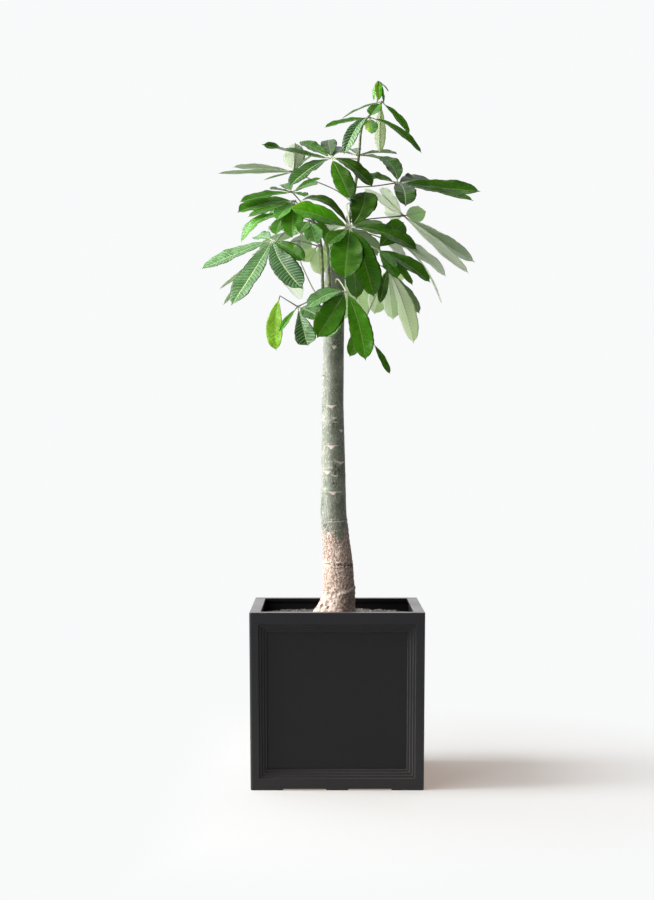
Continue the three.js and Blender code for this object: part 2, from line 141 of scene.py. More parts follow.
def blend_value(share, first, second):
    """Mixes two numbers."""
    return add("ShaderNodeMix", {0: share, 2: first, 3: second})[0]


def attribute(name, output="Fac"):
    """A number, or a vector, that the mesh carries."""
    return add("ShaderNodeAttribute", attribute_name=name)[output]


def own_place():
    """Where a point lies on its piece, in metres."""
    return add("ShaderNodeTexCoord")["Object"]


def axes(vector):
    """A vector's X, Y and Z."""
    return add("ShaderNodeSeparateXYZ", {0: vector})


def mottle(scale, detail=4.0, stretch=(1, 1, 1)):
    """Noise fixed to the piece, with features of about one over scale metres."""
    mapped = add("ShaderNodeMapping", {"Vector": own_place(), "Scale": stretch})[0]
    return add("ShaderNodeTexNoise", {"Vector": mapped, "Scale": scale, "Detail": detail})[0]


def material(name):
    """An empty node material and its tree."""
    made = bpy.data.materials.new(name)
    made.use_nodes = True
    made.node_tree.nodes.clear()
    return made, made.node_tree


def shiny(colour, roughness, height, strength, depth, specular=0.5):
    """A surface with a fine relief, which is depth metres deep where height goes from nought to one."""
    bump = add("ShaderNodeBump", {"Height": height, "Strength": strength, "Distance": depth})
    inputs = {"Base Color": colour, "Roughness": roughness, "Specular IOR Level": specular}
    return add("ShaderNodeBsdfPrincipled", {**inputs, "Normal": bump[0]})[0]


def glowing(colour):
    return add("ShaderNodeEmission", {"Color": (*colour, 1), "Strength": 1.0})[0]


def shown(surface):
    """Ends a material with the surface that it shows."""
    add("ShaderNodeOutputMaterial", {"Surface": surface})


# %% [markdown]
# These helpers make a mesh of whole arrays at once, which is much faster than adding points one by one,
# and measure it, and they work out eased steps and noise for thousands of points.

# %% Shape helpers
def mesh_object(name, points, faces, finish, edges=(), **numbers):
    """An object from points in millimetres, with named numbers, one for each point or for each face."""
    mesh = bpy.data.meshes.new(name)
    mesh.from_pydata(np.asarray(points, float) * MM, edges, faces)
    for label, values in numbers.items():
        values = np.asarray(values, np.float32)
        kind, key = ("FLOAT_VECTOR", "vector") if values.ndim == 2 else ("FLOAT", "value")
        domain = "POINT" if len(values) == len(points) else "FACE"
        mesh.attributes.new(label, kind, domain).data.foreach_set(key, values.ravel())
    mesh.shade_smooth()
    mesh.materials.append(finish)
    mesh.update()
    made = bpy.data.objects.new(name, mesh)
    scene.collection.objects.link(made)
    return made


def quads(grid):
    """The faces between the rows and columns of a table of point numbers."""
    corners = grid[:-1, :-1], grid[:-1, 1:], grid[1:, 1:], grid[1:, :-1]
    return np.stack(corners, axis=2).reshape(-1, 4)


def volume(made):
    """A closed skin's volume in millilitres. It comes out negative if the faces look inwards."""
    shape = bmesh.new()
    shape.from_mesh(made.data)
    found = shape.calc_volume(signed=True) / MM**2
    shape.free()
    return found


def smoothstep(value, start, end):
    """Eases from 0 to 1 while value goes from start to end."""
    share = np.clip((np.asarray(value, float) - start) / (end - start), 0, 1)
    return share * share * (3 - 2 * share)


def bell(value, half_width):
    """One where value is nought, falling away on both sides."""
    return np.exp(-((value / half_width) ** 2))


def wander(points, size, octaves=3):
    """Fractal noise between about -1 and 1 at points in millimetres, with features of about that size."""
    return np.array([noise.fractal(Vector(p) / size, 0.9, 2.1, octaves) for p in points])


# %% [markdown]
# ## Stage and light
# A product photo like this one is taken in a white studio. Two soft windows stand at the left. The narrow
# one, almost beside the plant, whitens the left edge of the trunk and gives the shadow its dark core. The
# wide one stands further round to the front and softens the shadow's far side. Behind the plant all is
# white, and behind the viewer the room is dim, so what faces the viewer stays deep in colour while the
# planter's rim, seen at a low angle, mirrors the white. The world is a gradient that says just this.
# The floor is a plain disc that fades into the even white of a dome, so that no horizon shows. Neither
# gives light back to the plant, because the world's gradient already holds what a floor would bounce.

# %% Stage
WHITE = (0.945, 0.95, 0.955)
FLOOR_RADIUS = 40
FLOOR_FADES = (0.40, 1.05)  # metres from the middle, where the lit floor turns into plain white
UNSHADED_SIDE = (-0.14, -0.34)  # left of the planter no shadow falls
FLOOR_COLOUR = (0.345, 0.387, 0.41)
FLOOR_GLOW = (0.335, 0.26, 0.215)
DOME_RADIUS = 45

floor_finish, tree = material("studio_floor")
lit = add("ShaderNodeBsdfDiffuse", {"Color": (*FLOOR_COLOUR, 1)})
near = add("ShaderNodeAddShader", {0: lit[0], 1: glowing(FLOOR_GLOW)})
place = own_place()
distance = add("ShaderNodeVectorMath", {0: place}, operation="LENGTH")["Value"]
unshaded = ramp(axes(place)["X"], *UNSHADED_SIDE)
share = calc("MAXIMUM", ramp(distance, *FLOOR_FADES), unshaded)
mixed = add("ShaderNodeMixShader", {0: share, 1: near[0], 2: glowing(WHITE)})
shown(mixed[0])

dome_finish, tree = material("studio_white")
shown(glowing(WHITE))

bpy.ops.mesh.primitive_circle_add(vertices=96, radius=FLOOR_RADIUS, fill_type="NGON")
floor = bpy.context.object
bpy.ops.mesh.primitive_uv_sphere_add(segments=48, ring_count=24, radius=DOME_RADIUS)
dome = bpy.context.object
for made, name, finish in ((floor, "studio_floor", floor_finish), (dome, "studio_dome", dome_finish)):
    made.name = name
    made.data.materials.append(finish)
    made.visible_diffuse = False
    made.visible_shadow = False
dome.visible_glossy = False
dome.visible_transmission = False
floor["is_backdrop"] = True
dome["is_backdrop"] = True

# %% Light
DIM = 0.06
BEHIND = 1.45
OVERHEAD = 0.05
BELOW = 0.8
LEFT_GAIN = 1.25
RIGHT_SHADE = 0.35
SKY = (0.97, 0.985, 1, 1)
DAYLIGHT = (1, 0.99, 0.97)
LIT_SPOT = (0, 0, 0.6)

world = bpy.data.worlds.new("studio")
world.use_nodes = True
tree = world.node_tree
way = axes(add("ShaderNodeTexCoord")["Generated"])
back = ramp(way["Y"], 0.05, 0.5, DIM, DIM + BEHIND)
strength = calc("ADD", back, ramp(way["Z"], 0.1, 1.0, 0, OVERHEAD))
strength = calc("MAXIMUM", strength, ramp(way["Z"], 0.0, -0.3, 0, BELOW))
strength = times(strength, ramp(way["X"], -0.7, 0.8, LEFT_GAIN, RIGHT_SHADE))
background = tree.nodes["Background"]
background.inputs["Color"].default_value = SKY
tree.links.new(strength, background.inputs["Strength"])
scene.world = world
scene.view_settings.view_transform = "Standard"


def soft_light(name, azimuth, elevation, distance, width, height, power):
    """A soft light that looks at the plant. Azimuth is measured from the viewer, to the right."""
    data = bpy.data.lights.new(name, "AREA")
    data.shape = "RECTANGLE"
    data.size = width
    data.size_y = height
    data.energy = power
    data.color = DAYLIGHT
    turn, rise = math.radians(azimuth), math.radians(elevation)
    away = Vector((math.sin(turn) * math.cos(rise), -math.cos(turn) * math.cos(rise), math.sin(rise)))
    made = bpy.data.objects.new(name, data)
    made.location = Vector(LIT_SPOT) + away * distance
    made.rotation_euler = away.to_track_quat("Z", "Y").to_euler()
    scene.collection.objects.link(made)


soft_light("window_light", -85, 35, 7.0, 3.0, 6.0, 900)
soft_light("wide_light", -57, 37, 7.0, 7.0, 5.0, 500)

# %% [markdown]
# ## Planter finish
# The tub is cast in resin mixed with stone powder and is not painted: a matt charcoal, a little cloudy,
# with a fine sandy grain that only shows where light grazes it. Two noises do this, a broad faint one in
# the colour and a fine one in the height. Light and shade are also painted on, from a point's place on
# the tub: paler towards the floor for the light the floor bounces, painted highlights on the outer
# corners of the moulding's steps where the light catches them, a painted reflection on the rim's top,
# and painted shade darkening the recessed panel and the inside of the tub.

# %% Planter finish
RIM_HEIGHT = (0.3322, 0.3328)  # metres, as all lengths in a material are
SHADED_INSIDE = (0.150, 0.146)  # from the middle
PANEL_SHADE_EDGE = (0.1555, 0.1530)
FRAME_EDGE = 0.165
MOULDING_STEP = 0.0032

planter_finish, tree = material("charcoal_resin")
cloud = mottle(9)
grain = mottle(900, 2)
place = axes(own_place())
farthest = calc("MAXIMUM", calc("ABSOLUTE", place["X"]), calc("ABSOLUTE", place["Y"]))
upright = calc("MULTIPLY_ADD", place["Z"], 0.048, 0.984)  # takes the tub's taper away
outermost = calc("DIVIDE", farthest, upright)
inwards = calc("SUBTRACT", FRAME_EDGE, outermost)
on_step = calc("FRACT", calc("DIVIDE", inwards, MOULDING_STEP))
# Painted highlights on the outer corners of the moulding's steps, where the light catches them: strongest on
# the right, faint on the left and at the top.
step_highlight = times(ramp(on_step, 0.03, 0.12), ramp(on_step, 0.5, 0.3))
step_highlight = times(step_highlight, ramp(place["X"], -0.12, 0.05, 0.1, 0.85))
step_highlight = times(step_highlight, ramp(place["Z"], 0.30, 0.26, 0.1, 1.0))
# Painted reflection on the rim's top: half as strong on the front strip, none at the back.
rim_highlight = times(ramp(place["Z"], *RIM_HEIGHT), ramp(place["Y"], -0.150, -0.135, 0.5, 1))
rim_highlight = times(rim_highlight, ramp(place["Y"], 0.150, 0.140))
base = painted(
    (0.0165, 0.0165, 0.0187),
    (cloud, 0.3, 0.7, (0.020, 0.020, 0.0222)),
    (grain, 0.55, 0.8, 0, 0.3, (0.05, 0.05, 0.053)),
    (place["Z"], 0.30, 0.0, 0, 0.9, (0.031, 0.028, 0.028)),  # painted light: paler towards the floor, for the light the floor bounces
    # painted shade: the recessed panel darker
    (outermost, *PANEL_SHADE_EDGE, (0.0115, 0.0115, 0.0128)),
    (step_highlight, (0.075, 0.073, 0.075)),
    # painted shade: the inside of the tub, below the lip, nearly black
    (farthest, *SHADED_INSIDE, (0.003, 0.003, 0.0035)),
    (rim_highlight, (0.10, 0.087, 0.091)),
)
shown(shiny(base, ramp(cloud, 0.2, 0.8, 0.36, 0.42), grain, 0.35, 0.0004, 0.25))

# %% [markdown]
# ## Planter
# The solid model already holds the whole form: rim, inward lip, stepped moulding and feet. A cast edge is
# never sharp, though, and it is the thin bright line along each edge that makes such a tub look real. So
# a copy of the solid is merged into clean flat faces, and a Bevel modifier rounds every edge a little.
# Weighted normals keep the flat faces flat between the rounded edges.

# %% Planter
EDGE_ROUNDING = 1.5
SAME_POINT = 0.02
SAME_PLANE, SHARP_EDGE = 0.4, 25  # degrees

planter = bpy.data.objects.new("planter_tub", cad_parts["planter"].data.copy())
scene.collection.objects.link(planter)
shape = bmesh.new()
shape.from_mesh(planter.data)
bmesh.ops.remove_doubles(shape, verts=shape.verts, dist=SAME_POINT * MM)
flat = math.radians(SAME_PLANE)
bmesh.ops.dissolve_limit(shape, angle_limit=flat, verts=shape.verts, edges=shape.edges)
shape.to_mesh(planter.data)
shape.free()
planter.data.materials.clear()
planter.data.materials.append(planter_finish)
planter.data.shade_smooth()
bevel = planter.modifiers.new("rounded edges", "BEVEL")
bevel.width = EDGE_ROUNDING * MM
bevel.segments = 3
bevel.limit_method = "ANGLE"
bevel.angle_limit = math.radians(SHARP_EDGE)
planter.modifiers.new("even shading", "WEIGHTED_NORMAL")
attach(planter, "root")
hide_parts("planter")
print("planter faces before rounding:", len(planter.data.polygons))

# %% [markdown]
# ## Soil
# Potting soil is a dark, crumbly bed. It was filled to two fingers below the rim and has sunk a little
# into the corners. The bed is a closed block with a fine wavy top, and the crumbs are separate grains.

# %% Soil finish
soil_finish, tree = material("potting_soil")
clods = mottle(300, 5)
fibres = mottle(520, 3, (1, 1, 3))
base = painted(
    (0.03, 0.027, 0.024),
    (clods, 0.35, 0.7, (0.11, 0.10, 0.09)),
    (attribute("shade"), 0.1, 1.0, 0, 0.8, (0.25, 0.235, 0.215)),
    (fibres, 0.62, 0.75, 0, 0.6, (0.38, 0.36, 0.33)),
)
shown(shiny(base, 0.95, clods, 0.8, 0.002))

# %% Soil bed
POT_HEIGHT = 333
POT_TAPER = 0.016
SOIL_TOP = 311
SOIL_BOTTOM = 16.4
SOIL_HALF = 146.6
SOIL_CELLS = 84
TRUNK_FOOT = (-6, 0)  # where the trunk's middle meets the soil
CORNER_DIP = 7
CORNERS = (215, 290)  # from the middle along both sides
MOUND = (2.5, 70)  # height and half width
FINE_WAVES = (1.6, 9)  # height and size


def narrowing(height):
    """How wide the tapered tub is at a height, as a share of its width at the rim."""
    return 1 - POT_TAPER * (1 - height / POT_HEIGHT)


def soil_height(x, y):
    """The bed's top: long low waves, as in the solid, a mound at the trunk and sunken corners."""
    waves = np.sin(x / 12 + 1) * np.cos(y / 14) + np.sin(x / 5 - y / 4)
    corner = smoothstep(abs(x) + abs(y), *CORNERS)
    mound = np.exp(-(((x - TRUNK_FOOT[0]) ** 2 + y**2) / MOUND[1] ** 2))
    return SOIL_TOP + 1.1 * waves - CORNER_DIP * corner + MOUND[0] * mound - 1.2


side = np.linspace(-SOIL_HALF, SOIL_HALF, SOIL_CELLS + 1)
x, y = (values.ravel() for values in np.meshgrid(side, side))
top = np.stack([x * narrowing(SOIL_TOP), y * narrowing(SOIL_TOP), soil_height(x, y)], axis=1)
top[:, 2] += FINE_WAVES[0] * wander(top, FINE_WAVES[1])
grid = np.arange(len(top)).reshape(SOIL_CELLS + 1, SOIL_CELLS + 1)
cells = quads(grid)
border = [*grid[0, :-1], *grid[:-1, -1], *grid[-1, :0:-1], *grid[:0:-1, 0]]
below = top[border].copy()
below[:, :2] *= narrowing(SOIL_BOTTOM) / narrowing(SOIL_TOP)
below[:, 2] = SOIL_BOTTOM
underneath = [len(top) + i for i in range(len(border))]
rings = zip(border, underneath, border[1:] + border[:1], underneath[1:] + underneath[:1])
walls = [(next_top, corner, low, next_low) for corner, low, next_top, next_low in rings]
faces = [*cells.tolist(), *walls, tuple(reversed(underneath))]
soil_bed = mesh_object("soil_bed", np.concatenate([top, below]), faces, soil_finish)
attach(soil_bed, "root")
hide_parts("soil")
print(f"soil bed: {volume(soil_bed):.0f} ml")

# %% [markdown]
# Geometry Nodes scatter the crumbs: points on the bed, one small ball on each point, turned and stretched
# by chance, then made real so that every grain can be dented by noise. Each grain carries a shade of its
# own. The first three functions serve every geometry tree in this lesson.

# %% Geometry trees
def geometry_tree(title, source, sizes):
    """An empty geometry tree, with its inputs' sockets and the identifiers by which they are set."""
    group = bpy.data.node_groups.new(title, "GeometryNodeTree")
    group.interface.new_socket(source, in_out="INPUT", socket_type="NodeSocketGeometry")
    ids = {}
    for name, kind in sizes.items():
        made = group.interface.new_socket(name, in_out="INPUT", socket_type="NodeSocket" + kind)
        ids[name] = made.identifier
    group.interface.new_socket("Result", in_out="OUTPUT", socket_type="NodeSocketGeometry")
    return group, group.nodes.new("NodeGroupInput").outputs, ids


def end_tree(shape, finish):
    """Ends a geometry tree: the shape gets its finish and goes out."""
    coated = add("GeometryNodeSetMaterial", {"Geometry": shape, "Material": finish})
    add("NodeGroupOutput", {0: coated[0]})


def grown(holder, tree, ids, values):
    """Runs a geometry tree on an object and leaves its result as the object's plain mesh."""
    modifier = holder.modifiers.new(tree.name, "NODES")
    modifier.node_group = tree
    for name, value in values.items():
        modifier[ids[name]] = value
    ready = holder.evaluated_get(bpy.context.evaluated_depsgraph_get())
    mesh = bpy.data.meshes.new_from_object(ready)
    mesh.name = holder.name
    holder.modifiers.clear()
    holder.data = mesh
    return holder


# %% Crumbs
CRUMBS_PER_SQUARE_METRE = 84000
CRUMB_RADIUS = 2.1
LEAST_STRETCH, MOST_STRETCH = (0.35, 0.35, 0.3), (1.3, 1.1, 0.9)
FULL_TURNS = (math.tau, math.tau, math.tau)
TRUNK_CLEAR = 38  # no crumb falls inside the trunk
WALL_CLEAR = 4

sizes = {"Per Square Metre": "Float", "Crumb Radius": "Float", "Finish": "Material"}
tree, given, crumb_ids = geometry_tree("scatter crumbs", "Ground", sizes)
inputs = {"Mesh": given["Ground"], "Density": given["Per Square Metre"], "Seed": 11}
spots = add("GeometryNodeDistributePointsOnFaces", inputs)
ball = add("GeometryNodeMeshIcoSphere", {"Radius": given["Crumb Radius"], "Subdivisions": 1})
turn = add("FunctionNodeRandomValue", {"Seed": 12, 1: FULL_TURNS}, data_type="FLOAT_VECTOR")
inputs = {"Seed": 13, 0: LEAST_STRETCH, 1: MOST_STRETCH}
stretch = add("FunctionNodeRandomValue", inputs, data_type="FLOAT_VECTOR")
inputs = {"Points": spots["Points"], "Instance": ball["Mesh"], "Rotation": turn[0], "Scale": stretch[0]}
scattered = add("GeometryNodeInstanceOnPoints", inputs)
shade = add("FunctionNodeRandomValue", {"Seed": 14}, data_type="FLOAT")
inputs = {"Geometry": scattered[0], "Name": "shade", "Value": shade[1]}
shaded = add("GeometryNodeStoreNamedAttribute", inputs, data_type="FLOAT", domain="INSTANCE")
real = add("GeometryNodeRealizeInstances", {"Geometry": shaded[0]})
dents = add("ShaderNodeTexNoise", {"Scale": 420.0, "Detail": 1.0})["Color"]
centred = add("ShaderNodeVectorMath", {0: dents, 1: (0.5, 0.5, 0.5)}, operation="SUBTRACT")
inputs = {0: centred[0], "Scale": given["Crumb Radius"]}
pushed = add("ShaderNodeVectorMath", inputs, operation="SCALE")
moved = add("GeometryNodeSetPosition", {"Geometry": real[0], "Offset": pushed[0]})
end_tree(moved[0], given["Finish"])

middles = top[cells, :2].mean(axis=1)
clear = np.hypot(middles[:, 0] - TRUNK_FOOT[0], middles[:, 1]) > TRUNK_CLEAR
clear &= abs(middles).max(axis=1) < SOIL_HALF - WALL_CLEAR
crumbs = mesh_object("soil_crumbs", top, cells[clear].tolist(), soil_finish)
values = {"Per Square Metre": CRUMBS_PER_SQUARE_METRE, "Crumb Radius": CRUMB_RADIUS * MM}
grown(crumbs, tree, crumb_ids, {**values, "Finish": soil_finish})
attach(crumbs, "root")
print("crumb faces:", len(crumbs.data.polygons))

# %% [markdown]
# ## Trunk
# The young bark is smooth and grey-green. Old petioles left scars on it: thin pale lines with a small
# filled triangle below their middle. Below, the bark is older, brown and wrinkled, with green left over
# in patches, and the foot swells into crumpled roots. All this is real relief: a fine tube whose radius
# is the solid's, plus a little for each scar, wrinkle, pit and wart. The same sums also give the three
# numbers per point that the finish reads: how much of a scar, how old and how dark the bark is there.

# %% Trunk outline
TRUNK = [  # height, middle, radius
    (150, -2, 22), (230, -3, 34), (300, -6, 42), (313, -5.6, 41), (328, -2.2, 37.2), (342, 1.5, 34.2),
    (364, 4.4, 30.8), (415, 2.6, 29), (454, -1, 27.2), (509, -6.4, 25.4), (617, -6.9, 23.2),
    (726, -8, 21.3), (850, -6.1, 20.3), (935, -4, 19.6), (992, -3, 19), (1006, -3, 15),
]
ROOTS = 5
ROOT_RELIEF = 0.07
ROOTS_END = 375
TRUNK_SIDES = 128
TRUNK_STEP = 1.7
BURIED_STEP = 12
BURIED_END = 298
RIM_LEVELS = [1004.5, 1006]  # close together, for a crisp edge at the top

SCARS = [  # height, angle of the middle, half the angle it spans, depth of the dip, swelling
    (960, 40, 50, 3, 0), (905, -170, 45, 3, 0.5), (876, -70, 30, 2, 0), (839, -88, 15, 7, 0),
    (815, 60, 40, 4, 0), (779, -163, 24, 4, 2.0), (752, 120, 40, 5, 0), (723, -97, 34, 6.5, 0.4),
    (699, -83, 11, 3, 0), (695, -152, 26, 1, 0.8), (691, -76, 12, 4, 0), (675, -43, 18, 5, 0.5),
    (668, 100, 44, 5, 0), (645, -100, 42, 6, 0.5), (613, -52, 36, 4.5, 0.8), (603, 140, 44, 5, 0),
    (596, -121, 38, 6.5, 1.0), (588, -82, 20, 3, 0), (555, -92, 50, 6, 0.6), (540, 80, 50, 5, 0.4),
    (497, -58, 76, 1, 0.5), (460, 110, 60, 3, 0.4), (414, -150, 60, 1, 0.6),
]
# Patches: height, angle, half the height, half the angle.
DARK_PITS = [
    (597, -72, 13, 20), (688, -80, 9, 14), (412, -48, 4.5, 62), (332, -118, 5, 9), (570, -82, 6, 10),
    (484, -135, 10, 26),
]
GREEN_LEFT_OVER = [(472, -70, 12, 17), (476, -150, 6, 10), (449, -152, 9, 9), (484, -110, 4, 60)]
CRUMPLED = [(343, -125, 24, 42), (322, -150, 16, 50)]

# %% [markdown]
# A scar is worked out as a line drawn round the trunk: at each point the sum asks how far the point lies
# above or below the line, and how far round from its middle.

# %% Trunk mesh
rows = np.array(TRUNK, float)
foot_level, top_level = rows[0, 0], rows[-1, 0]
buried = np.arange(foot_level, BURIED_END - 2, BURIED_STEP)
levels = np.concatenate([buried, np.arange(BURIED_END, top_level - 3, TRUNK_STEP), RIM_LEVELS])
kernel = np.hanning(15)
kernel /= kernel.sum()


def along_trunk(column):
    """The table's values at every level, with the corners between its rows smoothed."""
    fine = np.arange(foot_level - 40, top_level + 40, 4.0)
    values = np.interp(fine, rows[:, 0], rows[:, column])
    smooth = np.convolve(values, kernel, mode="same")
    edge = (fine < foot_level + 30) | (fine > top_level - 34)
    return np.interp(levels, fine, np.where(edge, values, smooth))


def turn_from(centre):
    """How far round the trunk each point lies from an angle, in degrees."""
    return (np.degrees(angle) - centre + 180) % 360 - 180


def patches(table):
    """One in the middle of each patch of a table, and nothing outside."""
    share = np.zeros(len(z))
    for height, centre, half_height, half_angle in table:
        away = np.hypot((z - height) / half_height, turn_from(centre) / half_angle)
        share = np.maximum(share, 1 - smoothstep(away + 0.35 * ragged, 0.75, 1.25))
    return share


angles = np.arange(TRUNK_SIDES) / TRUNK_SIDES * math.tau
z, angle = (values.ravel() for values in np.meshgrid(levels, angles, indexing="ij"))
middle, radius = (np.repeat(along_trunk(column), TRUNK_SIDES) for column in (1, 2))
radius *= 1 + ROOT_RELIEF * (1 - smoothstep(z, SOIL_TOP, ROOTS_END)) * np.cos(ROOTS * angle + 0.6)
radius += 5 * (1 - smoothstep(z, SOIL_TOP, 345)) * bell(turn_from(-170), 32)
ball = np.stack([radius * np.cos(angle), radius * np.sin(angle), z], axis=1)
ragged = wander(ball, 5)
old = smoothstep((478 - z) / 24 + 1.3 * wander(ball, 7), -0.3, 0.3)
old *= 1 - 0.95 * patches(GREEN_LEFT_OVER)

scar = np.zeros(len(z))
relief = np.zeros(len(z))
for height, centre, half, dip, swelling in SCARS:
    turn = turn_from(centre)
    upper_line = height + 0.6 * ragged + 0.5 * np.sin(turn / 17 + height)
    lower_line = upper_line - dip * np.clip(1 - np.abs(turn) / min(20, 0.8 * half), 0, 1)
    ends = 1 - smoothstep(abs(turn), 0.7 * half, half)
    inside = smoothstep(z - lower_line, -1.1, 0.3) * (1 - smoothstep(z - upper_line, 0.1, 1.3))
    scar = np.maximum(scar, ends * inside)
    relief += (0.5 + swelling) * ends * bell(z - upper_line - 2.4, 2.6) - 0.35 * ends * inside

specks = wander(ball + 300, 3.4)
pits = patches(DARK_PITS) * smoothstep(specks, 0.02, 0.32)
pits = np.maximum(pits, 0.7 * smoothstep(specks, 0.5, 0.85) * old)
ring_edge = bell(np.abs(z - 413) - 4, 1.3) * smoothstep(wander(ball + 60, 9, 2), -0.35, 0.2)
band_height = 356 + 11 * smoothstep(turn_from(-50), -36, 40)
band = bell(z - band_height, 3.6) * (1 - smoothstep(abs(turn_from(-45)), 34, 52))
crumpled = patches(CRUMPLED)
warts = smoothstep(wander(ball + 700, 4.5, 2), 0.45, 0.8)
net = wander(ball * [1, 1, 0.55] + 50, 3.6)
wrinkles = wander(ball * [0.5, 0.5, 1] + 20, 5)
relief += 0.45 * warts - 1.5 * pits + ring_edge + 2.2 * band
relief += crumpled * 1.7 * wander(ball + 150, 9)
relief += old * (0.75 * net + 0.5 * wrinkles) + (1 - old) * 0.2 * wander(ball, 12)
relief += old * wander(ball + 40, 30, 2)
radius = radius + relief * smoothstep(z, foot_level, 290)
points = np.stack([middle + radius * np.cos(angle), radius * np.sin(angle), z], axis=1)
rings = np.arange(len(points)).reshape(len(levels), TRUNK_SIDES)
closed = np.column_stack([rings, rings[:, 0]])
faces = [*quads(closed).tolist(), rings[0, ::-1].tolist(), rings[-1].tolist()]

# %% [markdown]
# The finish blends two barks by age. The young one is grey-green with pale and dark flecks, and painted
# darker and greener on the side away from the windows, as painted shade. The old one is brown, with a net
# of fine cracks.

# %% Bark finish
bark_finish, tree = material("green_bark")
old_share = attribute("old")
cloud = mottle(45, 5)
blotch = mottle(24, 4, (1, 1, 0.6))
streak = mottle(270, 5, (1, 1, 0.75))
fleck = mottle(430, 2, (1, 1, 0.45))
speck = mottle(620, 2)
place = own_place()

young = painted(
    (0.215, 0.24, 0.185),
    (cloud, 0.3, 0.7, (0.36, 0.375, 0.32)),
    (blotch, 0.52, 0.66, 0, 0.75, (0.105, 0.155, 0.095)),
    (fleck, 0.54, 0.68, 0, 0.6, (0.72, 0.71, 0.64)),
    (speck, 0.60, 0.74, 0, 0.55, (0.075, 0.08, 0.055)),
)
# Painted shade: the young bark darker and greener on the side away from the windows.
shaded_young = blend(1.0, young, (0.56, 0.57, 0.49), "MULTIPLY")
young = painted(young, (axes(place)["X"], -0.021, -0.007, 0, 0.75, shaded_young))

bent = add("ShaderNodeVectorMath", {0: place, 1: (1, 1, 0.6)}, operation="MULTIPLY")[0]
net = add("ShaderNodeTexVoronoi", {"Vector": bent, "Scale": 240.0}, feature="DISTANCE_TO_EDGE")["Distance"]
cracked = times(ramp(net, 0.10, 0.02), ramp(cloud, 0.4, 0.6, 0.15, 0.6))
aged = painted(
    (0.35, 0.25, 0.20),
    (streak, 0.36, 0.62, (0.78, 0.61, 0.51)),
    (fleck, 0.56, 0.7, 0, 0.65, (0.88, 0.77, 0.70)),
    (speck, 0.58, 0.72, 0, 0.7, (0.17, 0.115, 0.09)),
    (cracked, (0.19, 0.125, 0.10)),
)
both = painted(
    young,
    (old_share, aged),
    (attribute("scar"), (0.88, 0.74, 0.64)),
    (attribute("dark"), (0.045, 0.035, 0.028)),
)
height = calc("MULTIPLY_ADD", streak, 1.4, speck)
roughness = ramp(old_share, 0, 1, 0.52, 0.88)
shown(shiny(both, roughness, height, 0.6, 0.0012, 0.4))

# %% Trunk object
cracks = crumpled * smoothstep(wander(ball * [1, 1, 0.6] + 500, 5), 0.2, 0.45)
dark = np.clip(0.9 * pits + 0.6 * cracks, 0, 1)
crests = 0.85 * ring_edge + 0.7 * band + 0.8 * crumpled * smoothstep(ragged, -0.15, 0.3)
pale = np.clip(scar + crests, 0, 1)
trunk = mesh_object("trunk_bark", points, faces, bark_finish, scar=pale, old=old, dark=dark)
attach(trunk, "root")
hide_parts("trunk")
print(f"trunk faces: {len(faces)}, volume: {volume(trunk):.0f} ml")


# %% [markdown]
# ## Everything that follows a line
# Shoots, petioles and the midribs under the leaflets are all stems: round, bent, and thicker or thinner
# along the way. One geometry tree sweeps them. It takes lines whose points carry their own radius, turns
# the lines into curves and pulls a round profile along them.

# %% Stems
NO_BLADE = [0.0, 0.0, -1.0]  # given to points that lie on no blade

sizes = {"Sides": "Int", "Thickness": "Float", "Finish": "Material"}
tree, given, stem_ids = geometry_tree("sweep stems", "Lines", sizes)
curves = add("GeometryNodeMeshToCurve", {"Mesh": given["Lines"]})
size = add("GeometryNodeInputNamedAttribute", {"Name": "thick"}, data_type="FLOAT")
size = times(size[0], given["Thickness"])
ring = add("GeometryNodeCurvePrimitiveCircle", {"Resolution": given["Sides"], "Radius": 1.0})
inputs = {"Curve": curves[0], "Profile Curve": ring["Curve"], "Scale": size, "Fill Caps": True}
swept = add("GeometryNodeCurveToMesh", inputs)
smooth = add("GeometryNodeSetShadeSmooth", {"Geometry": swept[0]})
real = add("GeometryNodeRealizeInstances", {"Geometry": smooth[0]})
end_tree(real[0], given["Finish"])
stem_tree = tree


def stems(name, lines, finish, sides, tones=0.5):
    """Stems along lines. A line is its points and their radii, both in millimetres."""
    points = np.concatenate([line for line, _ in lines])
    edges, start = [], 0
    for line, _ in lines:
        edges += [(start + i, start + i + 1) for i in range(len(line) - 1)]
        start += len(line)
    thick = np.concatenate([radii for _, radii in lines]) * MM
    tones = np.broadcast_to(tones, len(points))
    blade = np.tile(NO_BLADE, (len(points), 1))
    holder = mesh_object(name, points, [], finish, edges, thick=thick, tone=tones, blade=blade)
    return grown(holder, stem_tree, stem_ids, {"Sides": sides, "Thickness": 1.0, "Finish": finish})


def through(path, per_span=12):
    """Points on a smooth curve through a path's points."""
    path = np.asarray(path, float)
    padded = np.concatenate([[2 * path[0] - path[1]], path, [2 * path[-1] - path[-2]]])
    share = (np.arange(per_span) / per_span)[:, None]
    spans = []
    for before, start, end, after in zip(padded, padded[1:], padded[2:], padded[3:]):
        leave = (end - before) / 2
        reach = (after - start) / 2
        cubic = 2 * start - 2 * end + leave + reach
        square = -3 * start + 3 * end - 2 * leave - reach
        spans.append(start + leave * share + square * share**2 + cubic * share**3)
    return np.concatenate([*spans, path[-1:]])


def travelled_along(line):
    """How far each point of a line lies from its start, along the line."""
    return np.concatenate([[0], np.cumsum(np.linalg.norm(np.diff(line, axis=0), axis=1))])


# %% [markdown]
# ## Shoots
# New wood is thin, green and a little warty, with a ring where each old petiole broke off. The radius
# table comes from the solid, and a small swelling is added at every ring.

# %% Shoot finish
shoot_finish, tree = material("green_stem")
cloud = mottle(160)
speck = mottle(900, 2)
base = painted(
    (0.07, 0.095, 0.035),
    (cloud, 0.35, 0.7, (0.25, 0.29, 0.14)),
    (speck, 0.6, 0.75, 0, 0.6, (0.16, 0.13, 0.07)),
)
shown(shiny(base, 0.5, cloud, 0.4, 0.0005))

